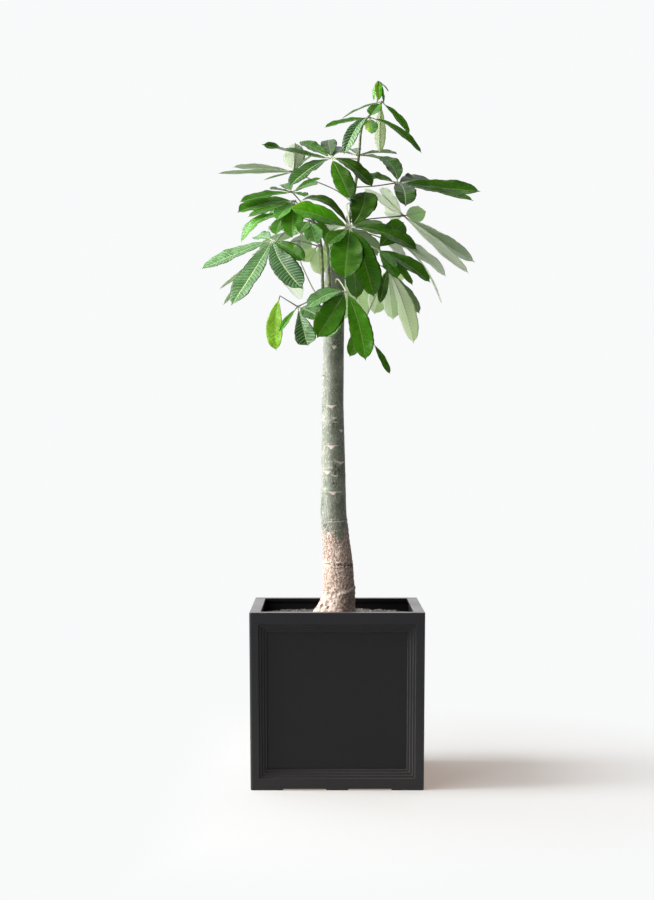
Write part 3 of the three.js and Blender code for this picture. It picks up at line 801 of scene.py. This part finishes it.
# %% Shoots
SHOOTS = {  # x, y, z and radius, from the trunk outwards
    "shoot_leader": [
        (-1, 0, 989, 7.5), (8, -3, 1020, 6.4), (20, -2, 1067, 4.6), (30, 0, 1118, 3.6), (38, 0, 1165, 3),
        (44, 0, 1220, 2.7), (48, 0, 1263, 2.5), (57, -6, 1282, 2.3), (73, -4, 1300, 2.1), (85, 0, 1314, 1.9),
    ],
    "shoot_left_outer": [
        (-21, -8, 924, 3.6), (-27, -24, 948, 3.3), (-28, -24, 987, 2.9), (-30, -17, 1032, 2.6),
        (-37, -14, 1064, 2.4), (-50, -8, 1084, 2.1),
    ],
    "shoot_left_inner": [
        (-7, -10, 918, 3.6), (-13, -26, 948, 3.3), (-16, -28, 986, 2.9), (-18, -22, 1030, 2.6),
        (-35, 6, 1070, 2.4), (-58, 10, 1102, 2.1), (-74, 6, 1119, 2),
    ],
}
RING_SPACING = 23  # between the scars of old petioles
RING_HALF = 2.2
SHOOT_SIDES = 18
PER_SPAN = 16
for name, table in SHOOTS.items():
    table = np.array(table, float)
    line = through(table[:, :3], PER_SPAN)
    radii = np.interp(np.arange(len(line)) / PER_SPAN, np.arange(len(table)), table[:, 3])
    near = (travelled_along(line) + RING_SPACING / 2) % RING_SPACING - RING_SPACING / 2
    radii = radii * (0.97 + 0.14 * bell(near, RING_HALF))
    radii[-1] *= 0.4
    made = stems(name.replace("shoot_", "stem_"), [(line, radii)], shoot_finish, SHOOT_SIDES)
    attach(made, "root")
    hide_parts(name)
    print(made.name, "faces:", len(made.data.polygons))

# %% [markdown]
# ## Leaf finish
# A leaflet is glossy dark green above and pale, dull grey-green below, and daylight shines through it.
# The finish tells the two sides apart by a number on the faces, and finds the veins from two numbers on
# the points: how far across the blade a point lies, and how many side veins come before it. The midrib
# is pale, the side veins leave it at a slant, and the leaf bulges between them. Fine streaks run along
# the side veins: darker ones, and lighter, bluer ones of a painted sheen. Strongly veined blades are
# painted cooler and greyer, as a painted sheen. A tone number makes young leaflets light and yellowish,
# and another tells how pale the lower side is; for many leaflets both also hold painted light and shade.
# A translucent shader next to the glossy one lets the light through.

# %% Leaf veins
VEIN_SLANT = 1.7  # side veins that a margin point lies behind its midrib point
VEIN_CURVE = 1.25

leaf_finish, tree = material("leaf")
tone, under, beneath, veined = (attribute(name) for name in ("tone", "under", "beneath", "veined"))
place = axes(attribute("blade", "Vector"))
aside = calc("ABSOLUTE", place["X"])
is_stem = ramp(place["Z"], -0.3, -0.6)
slant = times(calc("POWER", aside, VEIN_CURVE), VEIN_SLANT)
count_here = calc("SUBTRACT", place["Y"], slant)
to_vein = calc("PINGPONG", count_here, 0.5)
vein = times(ramp(to_vein, 0.16, 0.02), ramp(aside, 1.0, 0.75))
rib_fades = ramp(veined, 0.05, 0.9, 0.13, 0.85)
rib_fades = blend_value(ramp(place["Z"], 0.02, 0.4), 0.95, rib_fades)
rib = times(ramp(aside, 0.075, 0.02), rib_fades)
inputs = {0: times(count_here, 2.4), 1: times(place["X"], 1.6)}
inputs = {"Vector": add("ShaderNodeCombineXYZ", inputs)[0], "Scale": 1.0, "Detail": 3.0}
threads = add("ShaderNodeTexNoise", inputs)[0]

# %% Leaf colours
cloud = mottle(40, 3)
# Painted sheen: strongly veined blades turn cooler and greyer. The same share also tints the light that
# shines through.
painted_sheen = ramp(veined, 0.35, 1.1, 0, 0.8)
upper = painted(
    (0.018, 0.052, 0.007),
    (tone, 0, 0.5, (0.058, 0.205, 0.014)),
    (tone, 0.5, 0.75, (0.120, 0.46, 0.014)),
    (tone, 0.75, 1, (0.48, 0.61, 0.12)),
    (cloud, 0.35, 0.75, 0, 0.4, (0.10, 0.25, 0.010)),
    (painted_sheen, painted((0.035, 0.11, 0.035), (tone, 0.2, 0.9, (0.29, 0.51, 0.26)))),
)
# Painted sheen: streaks along the side veins, lighter and bluer ones between darker ones.
lights = painted((0.60, 0.64, 0.55), (threads, 0.34, 0.66, (1.42, 1.34, 1.55)))
sheen_streak_share = calc("MAXIMUM", ramp(veined, 0, 0.1, 0.08, 0.45), ramp(veined, 0, 1, 0, 0.85))
vein_share = times(vein, times(calc("POWER", veined, 2.0), 0.36))
margin = times(ramp(aside, 0.86, 0.98, 0, 0.7), ramp(tone, 0.5, 1.0, 1, 0.2))
upper = painted(
    upper,
    (sheen_streak_share, blend(1.0, upper, lights, "MULTIPLY")),
    (vein_share, (0.52, 0.74, 0.46)),
    (rib, (0.60, 0.74, 0.40)),
    (margin, (0.008, 0.02, 0.003)),
)
lower = painted(
    (0.30, 0.36, 0.23),
    (beneath, 0, 1, (0.87, 0.91, 0.80)),
    (mottle(420, 3), 0.35, 0.7, 0, 0.12, (0.72, 0.76, 0.62)),
    (times(vein, calc("MULTIPLY_ADD", veined, 0.22, 0.08)), (0.30, 0.42, 0.17)),
)
stalk = painted(
    (0.09, 0.11, 0.05),
    (tone, 0, 1, (0.76, 0.82, 0.62)),
    (cloud, 0.35, 0.65, 0, 0.3, (0.36, 0.30, 0.16)),
)
colour = painted(upper, (under, lower), (is_stem, stalk))

# %% Leaf surface
SHINES_THROUGH = 0.42

bulge = times(to_vein, calc("MULTIPLY_ADD", veined, 0.9, 0.15))
bulge = times(bulge, calc("SUBTRACT", 1, is_stem))
grained = times(threads, ramp(veined, 0, 0.25, 0, 0.5))
grained = times(grained, ramp(under, 0, 1, 1, 0.15))
height = calc("MULTIPLY_ADD", bulge, 1.6, grained)
roughness = blend_value(under, ramp(veined, 0.2, 0.9, 0.20, 0.32), 0.6)
gloss = shiny(colour, roughness, height, 0.36, 0.0011, 0.38)
filtered = painted((1.5, 1.5, 0.5), (painted_sheen, (0.9, 1.05, 0.85)), (under, (1.3, 1.3, 1.05)))
filtered = painted(filtered, (is_stem, (1, 1, 1)))
filtered = blend(1.0, colour, filtered, "MULTIPLY")
daylight = add("ShaderNodeBsdfTranslucent", {"Color": filtered})[0]
shown(add("ShaderNodeMixShader", {0: SHINES_THROUGH, 1: gloss, 2: daylight})[0])

# %% [markdown]
# ## A leaflet
# The solid's leaflet is a flat fold with straight facets. The real one keeps that fold and arch, and also
# ripples along its edges, sags between its veins and thins out to its rim. Each blade is a closed skin:
# an upper and a lower sheet that share their border, half a millimetre apart in the middle. Its midline
# is the same curve as in the solid: it leaves the hub, bows towards the palm and ends at the tip.

# %% Leaflet midline
DRIP_TIP = 0.09  # the drawn-out tip's share of the length


def unit(vector):
    vector = np.asarray(vector, float)
    return vector / np.linalg.norm(vector)


def outline(share, foot_taper, tip_taper):
    """Half the width of a blade as a share of its widest: wedge-shaped foot, rounded end, narrow tip."""
    body = np.clip(share / (1 - DRIP_TIP / 2), 0, 1)
    curve = body**foot_taper * (1 - body) ** tip_taper
    widest = foot_taper / (foot_taper + tip_taper)
    curve = curve / (widest**foot_taper * (1 - widest) ** tip_taper)
    tip = 0.5 * np.clip((1 - share) / DRIP_TIP, 0, 1) ** 1.3 * smoothstep(share, 0.5, 0.8)
    return np.sqrt(curve**2 + (0.55 * tip) ** 2)


def midline(hub, palm, leaf):
    """The leaflet's midline: a function that gives its places and directions, and its length."""
    tip = hub + leaf["reach"]
    foot = hub if leaf["stalk"] is None else hub + leaf["stalk"]
    facing = palm if leaf["face"] is None else unit(leaf["face"])
    chord = tip - foot
    length = np.linalg.norm(chord)
    across = unit(np.cross(facing, chord))
    bow = foot + 0.45 * chord + facing * leaf["arch"] * length + across * leaf["sway"] * length
    t = np.linspace(0, 1, 241)[:, None]
    line = (1 - t) ** 2 * foot + 2 * t * (1 - t) * bow + t**2 * tip
    travelled = travelled_along(line)
    total = travelled[-1]

    def at(share):
        """Places at shares of the length, with the ways sideways and up there."""
        here = np.stack([np.interp(share * total, travelled, line[:, k]) for k in range(3)], axis=1)
        when = np.interp(share * total, travelled, t[:, 0])[:, None]
        along = 2 * (1 - when) * (bow - foot) + 2 * when * (tip - bow)
        along /= np.linalg.norm(along, axis=1)[:, None]
        side = np.cross(facing, along)
        side /= np.linalg.norm(side, axis=1)[:, None]
        return here, side, np.cross(along, side)

    return at, total


# %% Leaflet skin
BLADE_THICKNESS = 0.55
VEIN_SPACING = 7
ROW_STEP = 1.5
COLUMNS = 14
WAVES = (0.075, 0.04)  # heights, as shares of the half width
SLOWEST, FASTEST = (1.6, 3.4), (2.6, 5.0)  # how many of each wave a blade may have
RIB_END = 0.94
RIB_RADII = (1.45, 1.05, 0.55, 0.22)
STALK_RADIUS = 1.5


def blade_skin(hub, palm, leaf, chance):
    """Points, faces, vein places and sides of one blade, then its rib's line and how far it is a rib."""
    at, total = midline(hub, palm, leaf)
    bare = leaf["neck"] / total
    count = int(np.clip(total / ROW_STEP, 14, 110))
    share = np.linspace(0, 1, count + 1)
    here, side, up = at(bare + (1 - bare) * share)
    turned = np.radians(np.interp(share, *zip(*leaf["twist"])))[:, None]
    side, up = side * np.cos(turned) + up * np.sin(turned), up * np.cos(turned) - side * np.sin(turned)
    share = share[:, None]  # rows run along the blade, and columns across it
    half = leaf["width"] / 2 * outline(share, *leaf["taper"])
    u = np.linspace(-1, 1, COLUMNS + 1)
    aside = np.abs(u)
    veins = (1 - bare) * total / VEIN_SPACING
    phase = share * veins - VEIN_SLANT * aside**VEIN_CURVE
    quilt = leaf["quilt"] * np.abs(np.sin(np.pi * phase)) * (1 - aside**2) * np.sqrt(aside)
    waves = sum(
        size * np.sin(math.tau * (rate * share + start) + 0.8 * u)
        for size, rate, start in zip(WAVES, chance.uniform(SLOWEST, FASTEST), chance.uniform(0, 1, 2))
    )
    edge = smoothstep(share, 0.02, 0.2) * (1 - 0.4 * smoothstep(share, 0.9, 1))
    rise = leaf["fold"] * half * aside**1.15 + waves * half * aside**2 * edge
    rise += quilt * np.minimum(half / 10, 1) - 0.5 * bell(u * half, 1.2) * edge
    notch = 1 + 0.018 * np.sin(math.tau * (share * veins * 0.5 + chance.uniform()))
    place = here[:, None] + side[:, None] * (u * (half * notch))[..., None]
    place = place + up[:, None] * rise[..., None]
    thick = up[:, None] * (BLADE_THICKNESS / 2 * (1 - aside**6) * np.minimum(half / 3, 1))[..., None]
    numbers = np.stack(np.broadcast_arrays(u, share * veins, share), axis=2)

    def around(foot, upper, tip, lower):
        """One value per point: the foot, the upper sheet, the tip, and what only the lower sheet has."""
        return np.array([foot, *upper[1:-1].reshape(-1, 3), tip, *lower[1:-1, 1:-1].reshape(-1, 3)])

    points = around(here[0], place + thick, here[-1], place - thick)
    marks = around([0, 0, 0], numbers, [0, veins, 1], numbers)
    over = 1 + np.arange((count - 1) * (COLUMNS + 1)).reshape(count - 1, COLUMNS + 1)
    tip = over.size + 1
    below = over.copy()
    below[:, 1:-1] = tip + 1 + np.arange((count - 1) * (COLUMNS - 1)).reshape(count - 1, COLUMNS - 1)
    faces = []
    for sheet, order in ((over.tolist(), -1), (below.tolist(), 1)):
        for i in range(COLUMNS):
            strip = [(0, sheet[0][i + 1], sheet[0][i]), (sheet[-1][i], sheet[-1][i + 1], tip)]
            strip += [(a[i], a[i + 1], b[i + 1], b[i]) for a, b in zip(sheet, sheet[1:])]
            faces += [face[::order] for face in strip]
    under = np.repeat([0.0, 1.0], len(faces) // 2)

    rib_share = np.linspace(0, RIB_END, 18)
    rib, _, rib_up = at(rib_share)
    onto = smoothstep(rib_share, bare * 0.6, bare * 1.6)
    radii = np.interp(rib_share, [0, bare, 0.5, RIB_END], RIB_RADII)
    rib = rib - rib_up * ((radii + 0.3) * onto)[:, None]
    if leaf["stalk"] is not None:
        rib = np.concatenate([[hub], rib])
        radii = np.concatenate([[STALK_RADIUS], radii])
        onto = np.concatenate([[0], onto])
    return points, faces, marks, under, (rib, radii), onto


# %% [markdown]
# The table below gives every leaflet of every frond: where its tip lies from the hub, how wide it is, how
# much it arches, and what sets it apart. Some blades twist on their way. For many leaflets the tone and
# the lower side's paleness also hold painted light and shade: lower where the leaflet lies in shade,
# higher where light falls on it. Some blades have painted shade towards the foot, and some have one half
# painted lighter or darker for the light that falls on it, as the photo shows them.

# %% Leaflets and fronds
FRONDS = {}
# Two of these numbers paint light and shade on a blade: one lightens or darkens one half, the other darkens
# it towards the foot.
USUAL = {
    "sway": 0, "face": None, "stalk": None, "twist": [(0, 0)], "fold": 0.24, "neck": 9,
    "taper": (0.92, 0.6), "tone": 0.4, "lean": 0, "fade": 0, "beneath": 0.5, "quilt": 0.25,
}


def leaf(x, y, z, width, arch=0.06, **more):
    """A leaflet: the way from the hub to its tip, its width, its arch, and what is special to it."""
    return {"reach": (x, y, z), "width": width, "arch": arch, **more}


def frond(name, path, palm, *leaflets, stalks=0.35, **shared):
    """Lists a frond: its petiole's path, the way its palm faces, its leaflets, and what they share."""
    FRONDS[name] = path, unit(palm), stalks, [{**USUAL, **shared, **each} for each in leaflets]


frond(
    "upper_left", [(42, 0, 1206), (18, -30, 1203), (-11, -62, 1199)], (-0.1, -0.5, 0.86),
    leaf(-134, -18, 24, 34, -0.05, twist=[(0.3, 0), (0.7, 18), (0.84, -8), (1, -40)], tone=0.2),
    leaf(-61, 72, 44, 30, 0.02, tone=0.3),
    leaf(-6, 92, 50, 32, 0.04),
    leaf(23, 74, 33, 28),
    leaf(-80, -58, -63, 42, 0.12, tone=0.28, quilt=0.7),
    leaf(37, -60, -88, 40, 0.09, lean=-0.2, tone=0.36),
    leaf(80, -23, -59, 38, 0.24),
    stalks=0.8, tone=0.12,
)
frond(
    "far_left", [(30, 0, 1122), (-3, 24, 1149), (-49, 40, 1171), (-86, 48, 1189)], (-0.1, 0.42, 0.9),
    leaf(-123, 27, 12, 22, 0.04, quilt=1.2),
    leaf(-150, -48, -11, 15, 0, beneath=0.7, quilt=1.0),
    leaf(-59, -38, -23, 8, 0, beneath=0.8),
    leaf(2, 80, 70, 44, face=(0, 0.7, -0.7), lean=-0.35, tone=0.2, beneath=0.1, quilt=0.9),
    leaf(39, 67, 42, 32),
)
frond(
    "right", [(36, 0, 1151), (75, -18, 1151), (117, -35, 1155)], (0.1, -0.5, 0.86),
    leaf(162, -15, -19, 42, -0.02, face=(0.1, -0.75, 0.65), tone=0.2),
    leaf(146, -60, -43, 30, 0.02),
    leaf(69, 88, 18, 44, 0.04),
    leaf(-29, 80, 64, 38, 0.06, sway=-0.16, tone=0.25),
    leaf(-70, 13, 11, 36, 0.12),
    leaf(12, -97, -58, 43, 0.16, sway=0.08, quilt=0.5),
    stalks=0.3, tone=0.12,
)
frond(
    "right_pale", [(26, 0, 1083), (66, 28, 1092), (134, 60, 1102)], (0.2, 0.6, 0.78),
    leaf(-80, 60, 61, 26, 0),
    leaf(-49, 24, 58, 32, 0.02),
    leaf(48, 62, 16, 34, 0.04, face=(-0.2, 0.95, -0.1), tone=0.9, beneath=1.0, quilt=1.0),
    leaf(-39, 70, 16, 32, 0, face=(0, 0.9, 0.3)),
    leaf(142, -15, -95, 36, -0.02),
    leaf(127, -60, -121, 30, -0.03),
    stalks=0.12, tone=0.55, beneath=0.6,
)
frond(
    "front", [(30, 0, 1120), (19, -60, 1109), (22, -120, 1077), (24, -150, 1055)], (0, -0.6, 0.8),
    leaf(-11, -78, -104, 66, lean=-0.14, tone=0.32),
    leaf(30, 70, 78, 52, 0.06, sway=-0.16, face=(0, -0.85, 0.5)),
    leaf(-94, 38, 55, 24, 0.5, tone=0.05),
    leaf(-112, -40, 32, 46, 0.1, face=(0.1, -0.8, 0.6), fade=0.3, lean=-0.08, tone=0.68, quilt=0.35),
    leaf(127, -28, -46, 44, 0.2),
    leaf(45, -18, -133, 50, 0.26, tone=0.5, quilt=0.35),
    leaf(14, 45, -132, 38, 0.05, face=(0, -0.95, 0.25), tone=0.25),
    leaf(-43, -40, -36, 36, tone=0.35, quilt=0.25),
    stalks=0.85, tone=0.12, quilt=0.1,
)
frond(
    "left", [(-19, 0, 914), (-44, -28, 946), (-67, -55, 992), (-82, -75, 1026), (-124, -85, 1039)],
    (-0.2, -0.7, 0.7),
    leaf(-136, -25, -59, 34, 0.03, lean=-0.08, tone=0.66),
    leaf(-76, -65, -131, 46, 0.03, sway=0.05, lean=-0.02, tone=0.5, quilt=0.9),
    leaf(60, -85, -101, 50, 0.05, sway=-0.12, lean=-0.06, tone=0.3),
    leaf(63, -40, -44, 34, 0.08, tone=0.33, quilt=0.1),
    leaf(-34, 75, 15, 32),
    stalks=0.7, tone=0.6, quilt=1.1,
)
frond(
    "left_behind", [(-30, -17, 1032), (-72, 8, 1046), (-100, 26, 1044), (-128, 35, 1037)], (-0.1, 0.6, 0.8),
    leaf(-107, 10, -84, 11, -0.04),
    leaf(-97, -30, -119, 16, 0),
    leaf(62, -35, -105, 46, 0.02, sway=0.08),
    leaf(-35, -65, -22, 24),
    leaf(28, 75, 40, 30, beneath=0.1),
    beneath=0.9,
)
frond(
    "left_young", [(-58, 10, 1102), (-70, -5, 1121), (-87, -12, 1140)], (-0.1, -0.55, 0.84),
    leaf(-103, -18, -22, 32, 0.05),
    leaf(-42, -58, -2, 22),
    leaf(51, -50, 9, 24),
    leaf(56, 37, 33, 18),
    leaf(26, -68, -18, 28, 0.06, face=(0.3, -0.8, 0.5)),
    leaf(-19, 62, 24, 24),
)
frond(
    "left_middle", [(-66, 8, 1111), (-82, 6, 1125)], (-0.2, -0.65, 0.74),
    leaf(-112, -41, -28, 48, 0.12),
    leaf(-94, 6, -31, 24, 0.02),
    leaf(-54, 46, -20, 26, 0, beneath=0.9),
    leaf(-34, -61, -45, 34, tone=0.6, quilt=0.6),
    leaf(-4, -78, -81, 44),
    tone=0.45,
)
frond(
    "left_lower", [(-50, -8, 1084), (-76, 14, 1094), (-104, 26, 1100)], (-0.3, -0.6, 0.75),
    leaf(-86, 16, -30, 22, 0.14),
    leaf(-84, -24, -58, 26, 0.4),
    leaf(-14, -68, -47, 30),
    leaf(-25, 62, -19, 30),
    tone=0.64, quilt=0.5,
)
frond(
    "inner_left", [(-41, -12, 1070), (-46, -30, 1079), (-54, -48, 1081)], (0, -0.7, 0.7),
    leaf(14, -36, -48, 38, tone=0.6, quilt=0.8),
    leaf(-17, -50, -30, 28, quilt=0.3),
    leaf(39, 12, -33, 32),
    tone=0.5,
)
frond(
    "lower_left", [(-17, -8, 924), (-48, -34, 926), (-76, -45, 914)], (-0.2, -0.7, 0.7),
    leaf(-35, -27, -51, 14, 0.06, tone=0.66),
    leaf(-41, -5, -86, 33, 0, stalk=(-34, 1, 21), sway=-0.12, face=(-0.2, -0.9, 0.1), tone=0.85),
    leaf(21, -50, -79, 40, 0.1, lean=0.14, fold=0.4, taper=(1.2, 0.25), tone=0.36, quilt=1.3),
    leaf(49, -43, -25, 42, quilt=0.8),
    stalks=0.3, tone=0.5,
)
frond(
    "lower_front", [(-3, -6, 963), (2, -70, 965), (17, -135, 937)], (0, -0.65, 0.76),
    leaf(-74, -25, -33, 38, 0.24, tone=0.6, quilt=0.8),
    leaf(-55, -63, -92, 50, face=(0.1, -0.95, 0.3), tone=0.3, quilt=0.1),
    leaf(-38, 10, -88, 50, quilt=0.6),
    leaf(36, -33, -133, 44, 0.06, sway=0.08, tone=0.58, quilt=0.4),
    leaf(84, 25, -156, 15, 0.02, stalk=(50, 20, -93), tone=0.35),
    stalks=0.9, tone=0.5,
)
frond(
    "right_middle", [(12, -3, 1036), (45, -44, 1037), (77, -72, 1023)], (0.3, -0.6, 0.75),
    leaf(102, -23, -67, 44, 0.1),
    leaf(67, -50, -75, 22, 0.1, tone=0.4),
    leaf(34, -68, -43, 22, tone=0.5),
    leaf(38, -18, -59, 40, tone=0.5),
    leaf(54, 62, 59, 42, 0.02, face=(0.3, -0.9, 0.3)),
    tone=0.25,
)
frond(
    "right_trailing", [(18, -2, 1059), (54, 12, 1063), (89, 14, 1053)], (0.3, 0.5, 0.82),
    leaf(127, -9, -78, 36, 0.2),
    leaf(117, -49, -139, 9, 0.38),
    leaf(45, -6, -42, 32),
    leaf(36, 71, 17, 30),
    beneath=0.6,
)
frond(
    "lower_right", [(3, 0, 975), (50, 26, 1007), (101, 24, 995)], (0.2, 0.7, 0.7),
    leaf(11, 20, -102, 38, 0.02),
    leaf(65, 38, -88, 34, -0.14, tone=0.4, beneath=0.15),
    leaf(51, -4, -151, 38, 0.04, sway=-0.08),
    leaf(-26, 54, -89, 44),
    leaf(-76, -28, -177, 28, 0, stalk=(-44, -16, -100), face=(0.1, -0.9, 0.3), tone=0.42, quilt=0.25),
    leaf(-18, -74, -76, 19, face=(0, -0.9, 0.4), tone=0.1, quilt=0.25),
    leaf(31, 86, -19, 32),
    stalks=0.6, tone=0.9, beneath=1.0, quilt=0.6,
)
frond(
    "top", [(51, -2, 1273), (57, -18, 1282), (64, -32, 1282)], (0, -0.5, 0.86),
    leaf(-89, -28, -24, 22),
    leaf(-51, -52, -80, 28, 0.34, lean=0.2, tone=0.45, quilt=1.5),
    leaf(3, -56, -41, 26, lean=-0.3, tone=0.62),
    leaf(101, -20, -73, 24, 0.2, tone=0.25),
    tone=0.35,
)
frond(
    "tip", [(79, -2, 1306), (85, 0, 1313), (88, 2, 1319)], (0.1, -0.35, 0.93),
    leaf(56, 10, -62, 23, 0.08, face=(0.5, -0.7, 0.5), tone=0.58),
    leaf(-3, 20, -98, 24, -0.1, face=(0.4, 0.9, -0.1), tone=0.95),
    leaf(-23, -44, -35, 27, 0.04, face=(-0.3, -0.95, 0.1), lean=0.1, quilt=0.1),
    leaf(-79, 18, -31, 14, 0.12, tone=0.25),
    stalks=0.6, tone=0.5,
)
frond(
    "bud", [(77, -3, 1304), (80, 16, 1325), (81, 14, 1344), (81, 8, 1359)], (0, -0.3, 1),
    leaf(-8, -4, -38, 12, 0.12, face=(-0.75, -0.6, 0.3), neck=1, taper=(0.5, 0.7), tone=0.74),
    leaf(11, 1, -43, 13, 0.12, face=(0.8, -0.55, 0.3), neck=1, taper=(0.5, 0.7), tone=0.66),
    leaf(1, -12, -39, 16, 0.2, face=(0.1, -1, 0.2), neck=1, taper=(0.5, 0.7), lean=-0.08, tone=0.82),
    leaf(21, -4, -21, 5, 0.3),
    stalks=0.3, tone=0.72, beneath=0.1, quilt=0.0,
)
frond(
    "upper_back", [(44, 0, 1220), (42, 24, 1226), (40, 46, 1221)], (0, 0.1, 1),
    leaf(83, 34, 7, 24, 0.1),
    leaf(56, 72, 0, 18),
    leaf(-8, 84, 25, 28),
    leaf(-49, 49, 13, 26),
    tone=0.25, beneath=0.25,
)
frond(
    "inner_back", [(-29, -20, 1018), (-35, 20, 1036), (-35, 44, 1042)], (0, 0.6, 0.8),
    leaf(2, 22, -57, 38),
    leaf(-32, 18, -32, 32),
    leaf(26, 61, -20, 38),
    leaf(-20, 56, 24, 32, tone=0.4, beneath=0.1),
    tone=0.9, beneath=1.0,
)
frond(
    "back", [(24, 0, 1079), (21, 80, 1104), (20, 160, 1093)], (0, 0.45, 0.9),
    leaf(-74, 45, -8, 40),
    leaf(-37, 85, -66, 46),
    leaf(14, 102, -81, 50, beneath=0.3),
    leaf(67, 75, -55, 46, beneath=0.0),
    leaf(79, 45, 1, 38, beneath=0.0),
    beneath=0.6,
)
frond(
    "lower_back", [(1, 0, 967), (19, 60, 994), (36, 112, 995)], (0.05, 0.55, 0.84),
    leaf(-65, 53, -37, 38),
    leaf(-28, 68, -97, 42),
    leaf(17, 78, -89, 42),
    leaf(50, 58, -36, 40),
    tone=0.9, beneath=1.0, quilt=0.8,
)
frond(
    "left_back", [(14, 0, 1042), (-21, 95, 1085), (-70, 175, 1082)], (-0.3, 0.4, 0.87),
    leaf(-91, 25, -34, 38),
    leaf(-38, 50, -69, 42),
    leaf(3, 75, -50, 42),
    leaf(-72, 50, 10, 34),
    beneath=0.65,
)

# %% [markdown]
# ## Fronds
# A frond is grown in one piece in nature, so it becomes one object here: the petiole with a swelling at
# each end, the hub, the leaflets' stalks and midribs, all swept by the tree above, and the blades. Chance
# is seeded by the frond's number, so the plant looks the same each time. The order of a face's corners
# matters: seen from outside they run counter-clockwise. The blades' volume checks this, because a skin
# that is inside out measures less than nothing.

# %% Fronds
PETIOLE_RADIUS = 1.45
HUB_RADIUS = 2.8
HUB_FLATTENED = 0.3
FROND_STEM_SIDES = 9
RIB_PALENESS = 0.85  # of the midribs, below the blades
FIRST_SEED = 100
MARKS_APART = 40  # between leaflets, so that each has threads of its own


def petiole(path):
    """A petiole's line and radii: swollen where it leaves the stem, and again below the hub."""
    line = through(path)
    share = np.linspace(0, 1, len(line))
    foot = 0.5 * np.maximum(0, 1 - share * 8)
    return line, PETIOLE_RADIUS * (0.86 + foot + 0.35 * bell(1 - share, 0.09))


def hub_ball(name, hub, palm, tone):
    """The hub: a flattened knob where the stalks meet."""
    shape = bmesh.new()
    bmesh.ops.create_icosphere(shape, subdivisions=3, radius=HUB_RADIUS)
    points = np.array([v.co for v in shape.verts])
    faces = [tuple(v.index for v in face.verts) for face in shape.faces]
    shape.free()
    points = points - HUB_FLATTENED * np.outer(points @ palm, palm) + hub
    tones, under = np.full(len(points), tone), np.zeros(len(faces))
    blade = np.tile(NO_BLADE, (len(points), 1))
    return mesh_object(name, points, faces, leaf_finish, tone=tones, under=under, blade=blade)


total_faces = 0
smallest = math.inf
for number, (key, (path, palm, paleness, leaflets)) in enumerate(FRONDS.items()):
    chance = np.random.default_rng(FIRST_SEED + number)
    hub = np.array(path[-1], float)
    lines = [petiole(path)]
    stem_tones = [np.full(len(lines[0][0]), paleness)]
    points, faces = [], []
    numbers = {label: [] for label in ("tone", "blade", "under", "beneath", "veined")}
    for order, each in enumerate(leaflets):
        skin, skin_faces, marks, under, rib, onto = blade_skin(hub, palm, each, chance)
        faces += [tuple(i + len(points) for i in face) for face in skin_faces]
        points += list(skin)
        # Painted light and shade on the blade, towards the foot and on one half, plus a small tone that
        # differs at random.
        painted_light_and_chance = each["fade"] * (marks[:, 2] - 0.5) + each["lean"] * np.tanh(5 * marks[:, 0])
        painted_light_and_chance += chance.uniform(-0.05, 0.05)
        marks[:, 1] += MARKS_APART * order
        numbers["tone"] += list(each["tone"] + painted_light_and_chance)
        numbers["blade"] += list(marks)
        numbers["under"] += list(under)
        numbers["beneath"] += list(each["beneath"] + painted_light_and_chance)
        numbers["veined"] += [min(each["quilt"], 1.2)] * len(skin)
        lines.append(rib)
        stem_tones.append(paleness + (RIB_PALENESS - paleness) * onto)
    name = "leaves_" + key
    made = mesh_object(name, points, faces, leaf_finish, **numbers)
    smallest = min(smallest, volume(made))
    swept = stems(name + "_stems", lines, leaf_finish, FROND_STEM_SIDES, np.concatenate(stem_tones))
    parts = [made, swept, hub_ball(name + "_hub", hub, palm, paleness)]
    with bpy.context.temp_override(active_object=made, object=made, selected_editable_objects=parts):
        bpy.ops.object.join()
    node = "frond_" + key
    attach(made, "root")
    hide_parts(node)
    total_faces += len(made.data.polygons)
print(f"frond faces: {total_faces}, smallest blades: {smallest:.2f} ml, so no skin is inside out")

# %% [markdown]
# ## Measure and finish
# Dressing must not change the object's size, so the box of the solids and the box of the dressed plant
# are put side by side, and the dressed plant's size is printed.

# %% Finish
new_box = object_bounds()
sizes = {
    "cad": [list(corner) for corner in cad_box],
    "visual": [list(corner) for corner in new_box],
}
print("size:", [round(value, 4) for value in new_box[1] - new_box[0]])
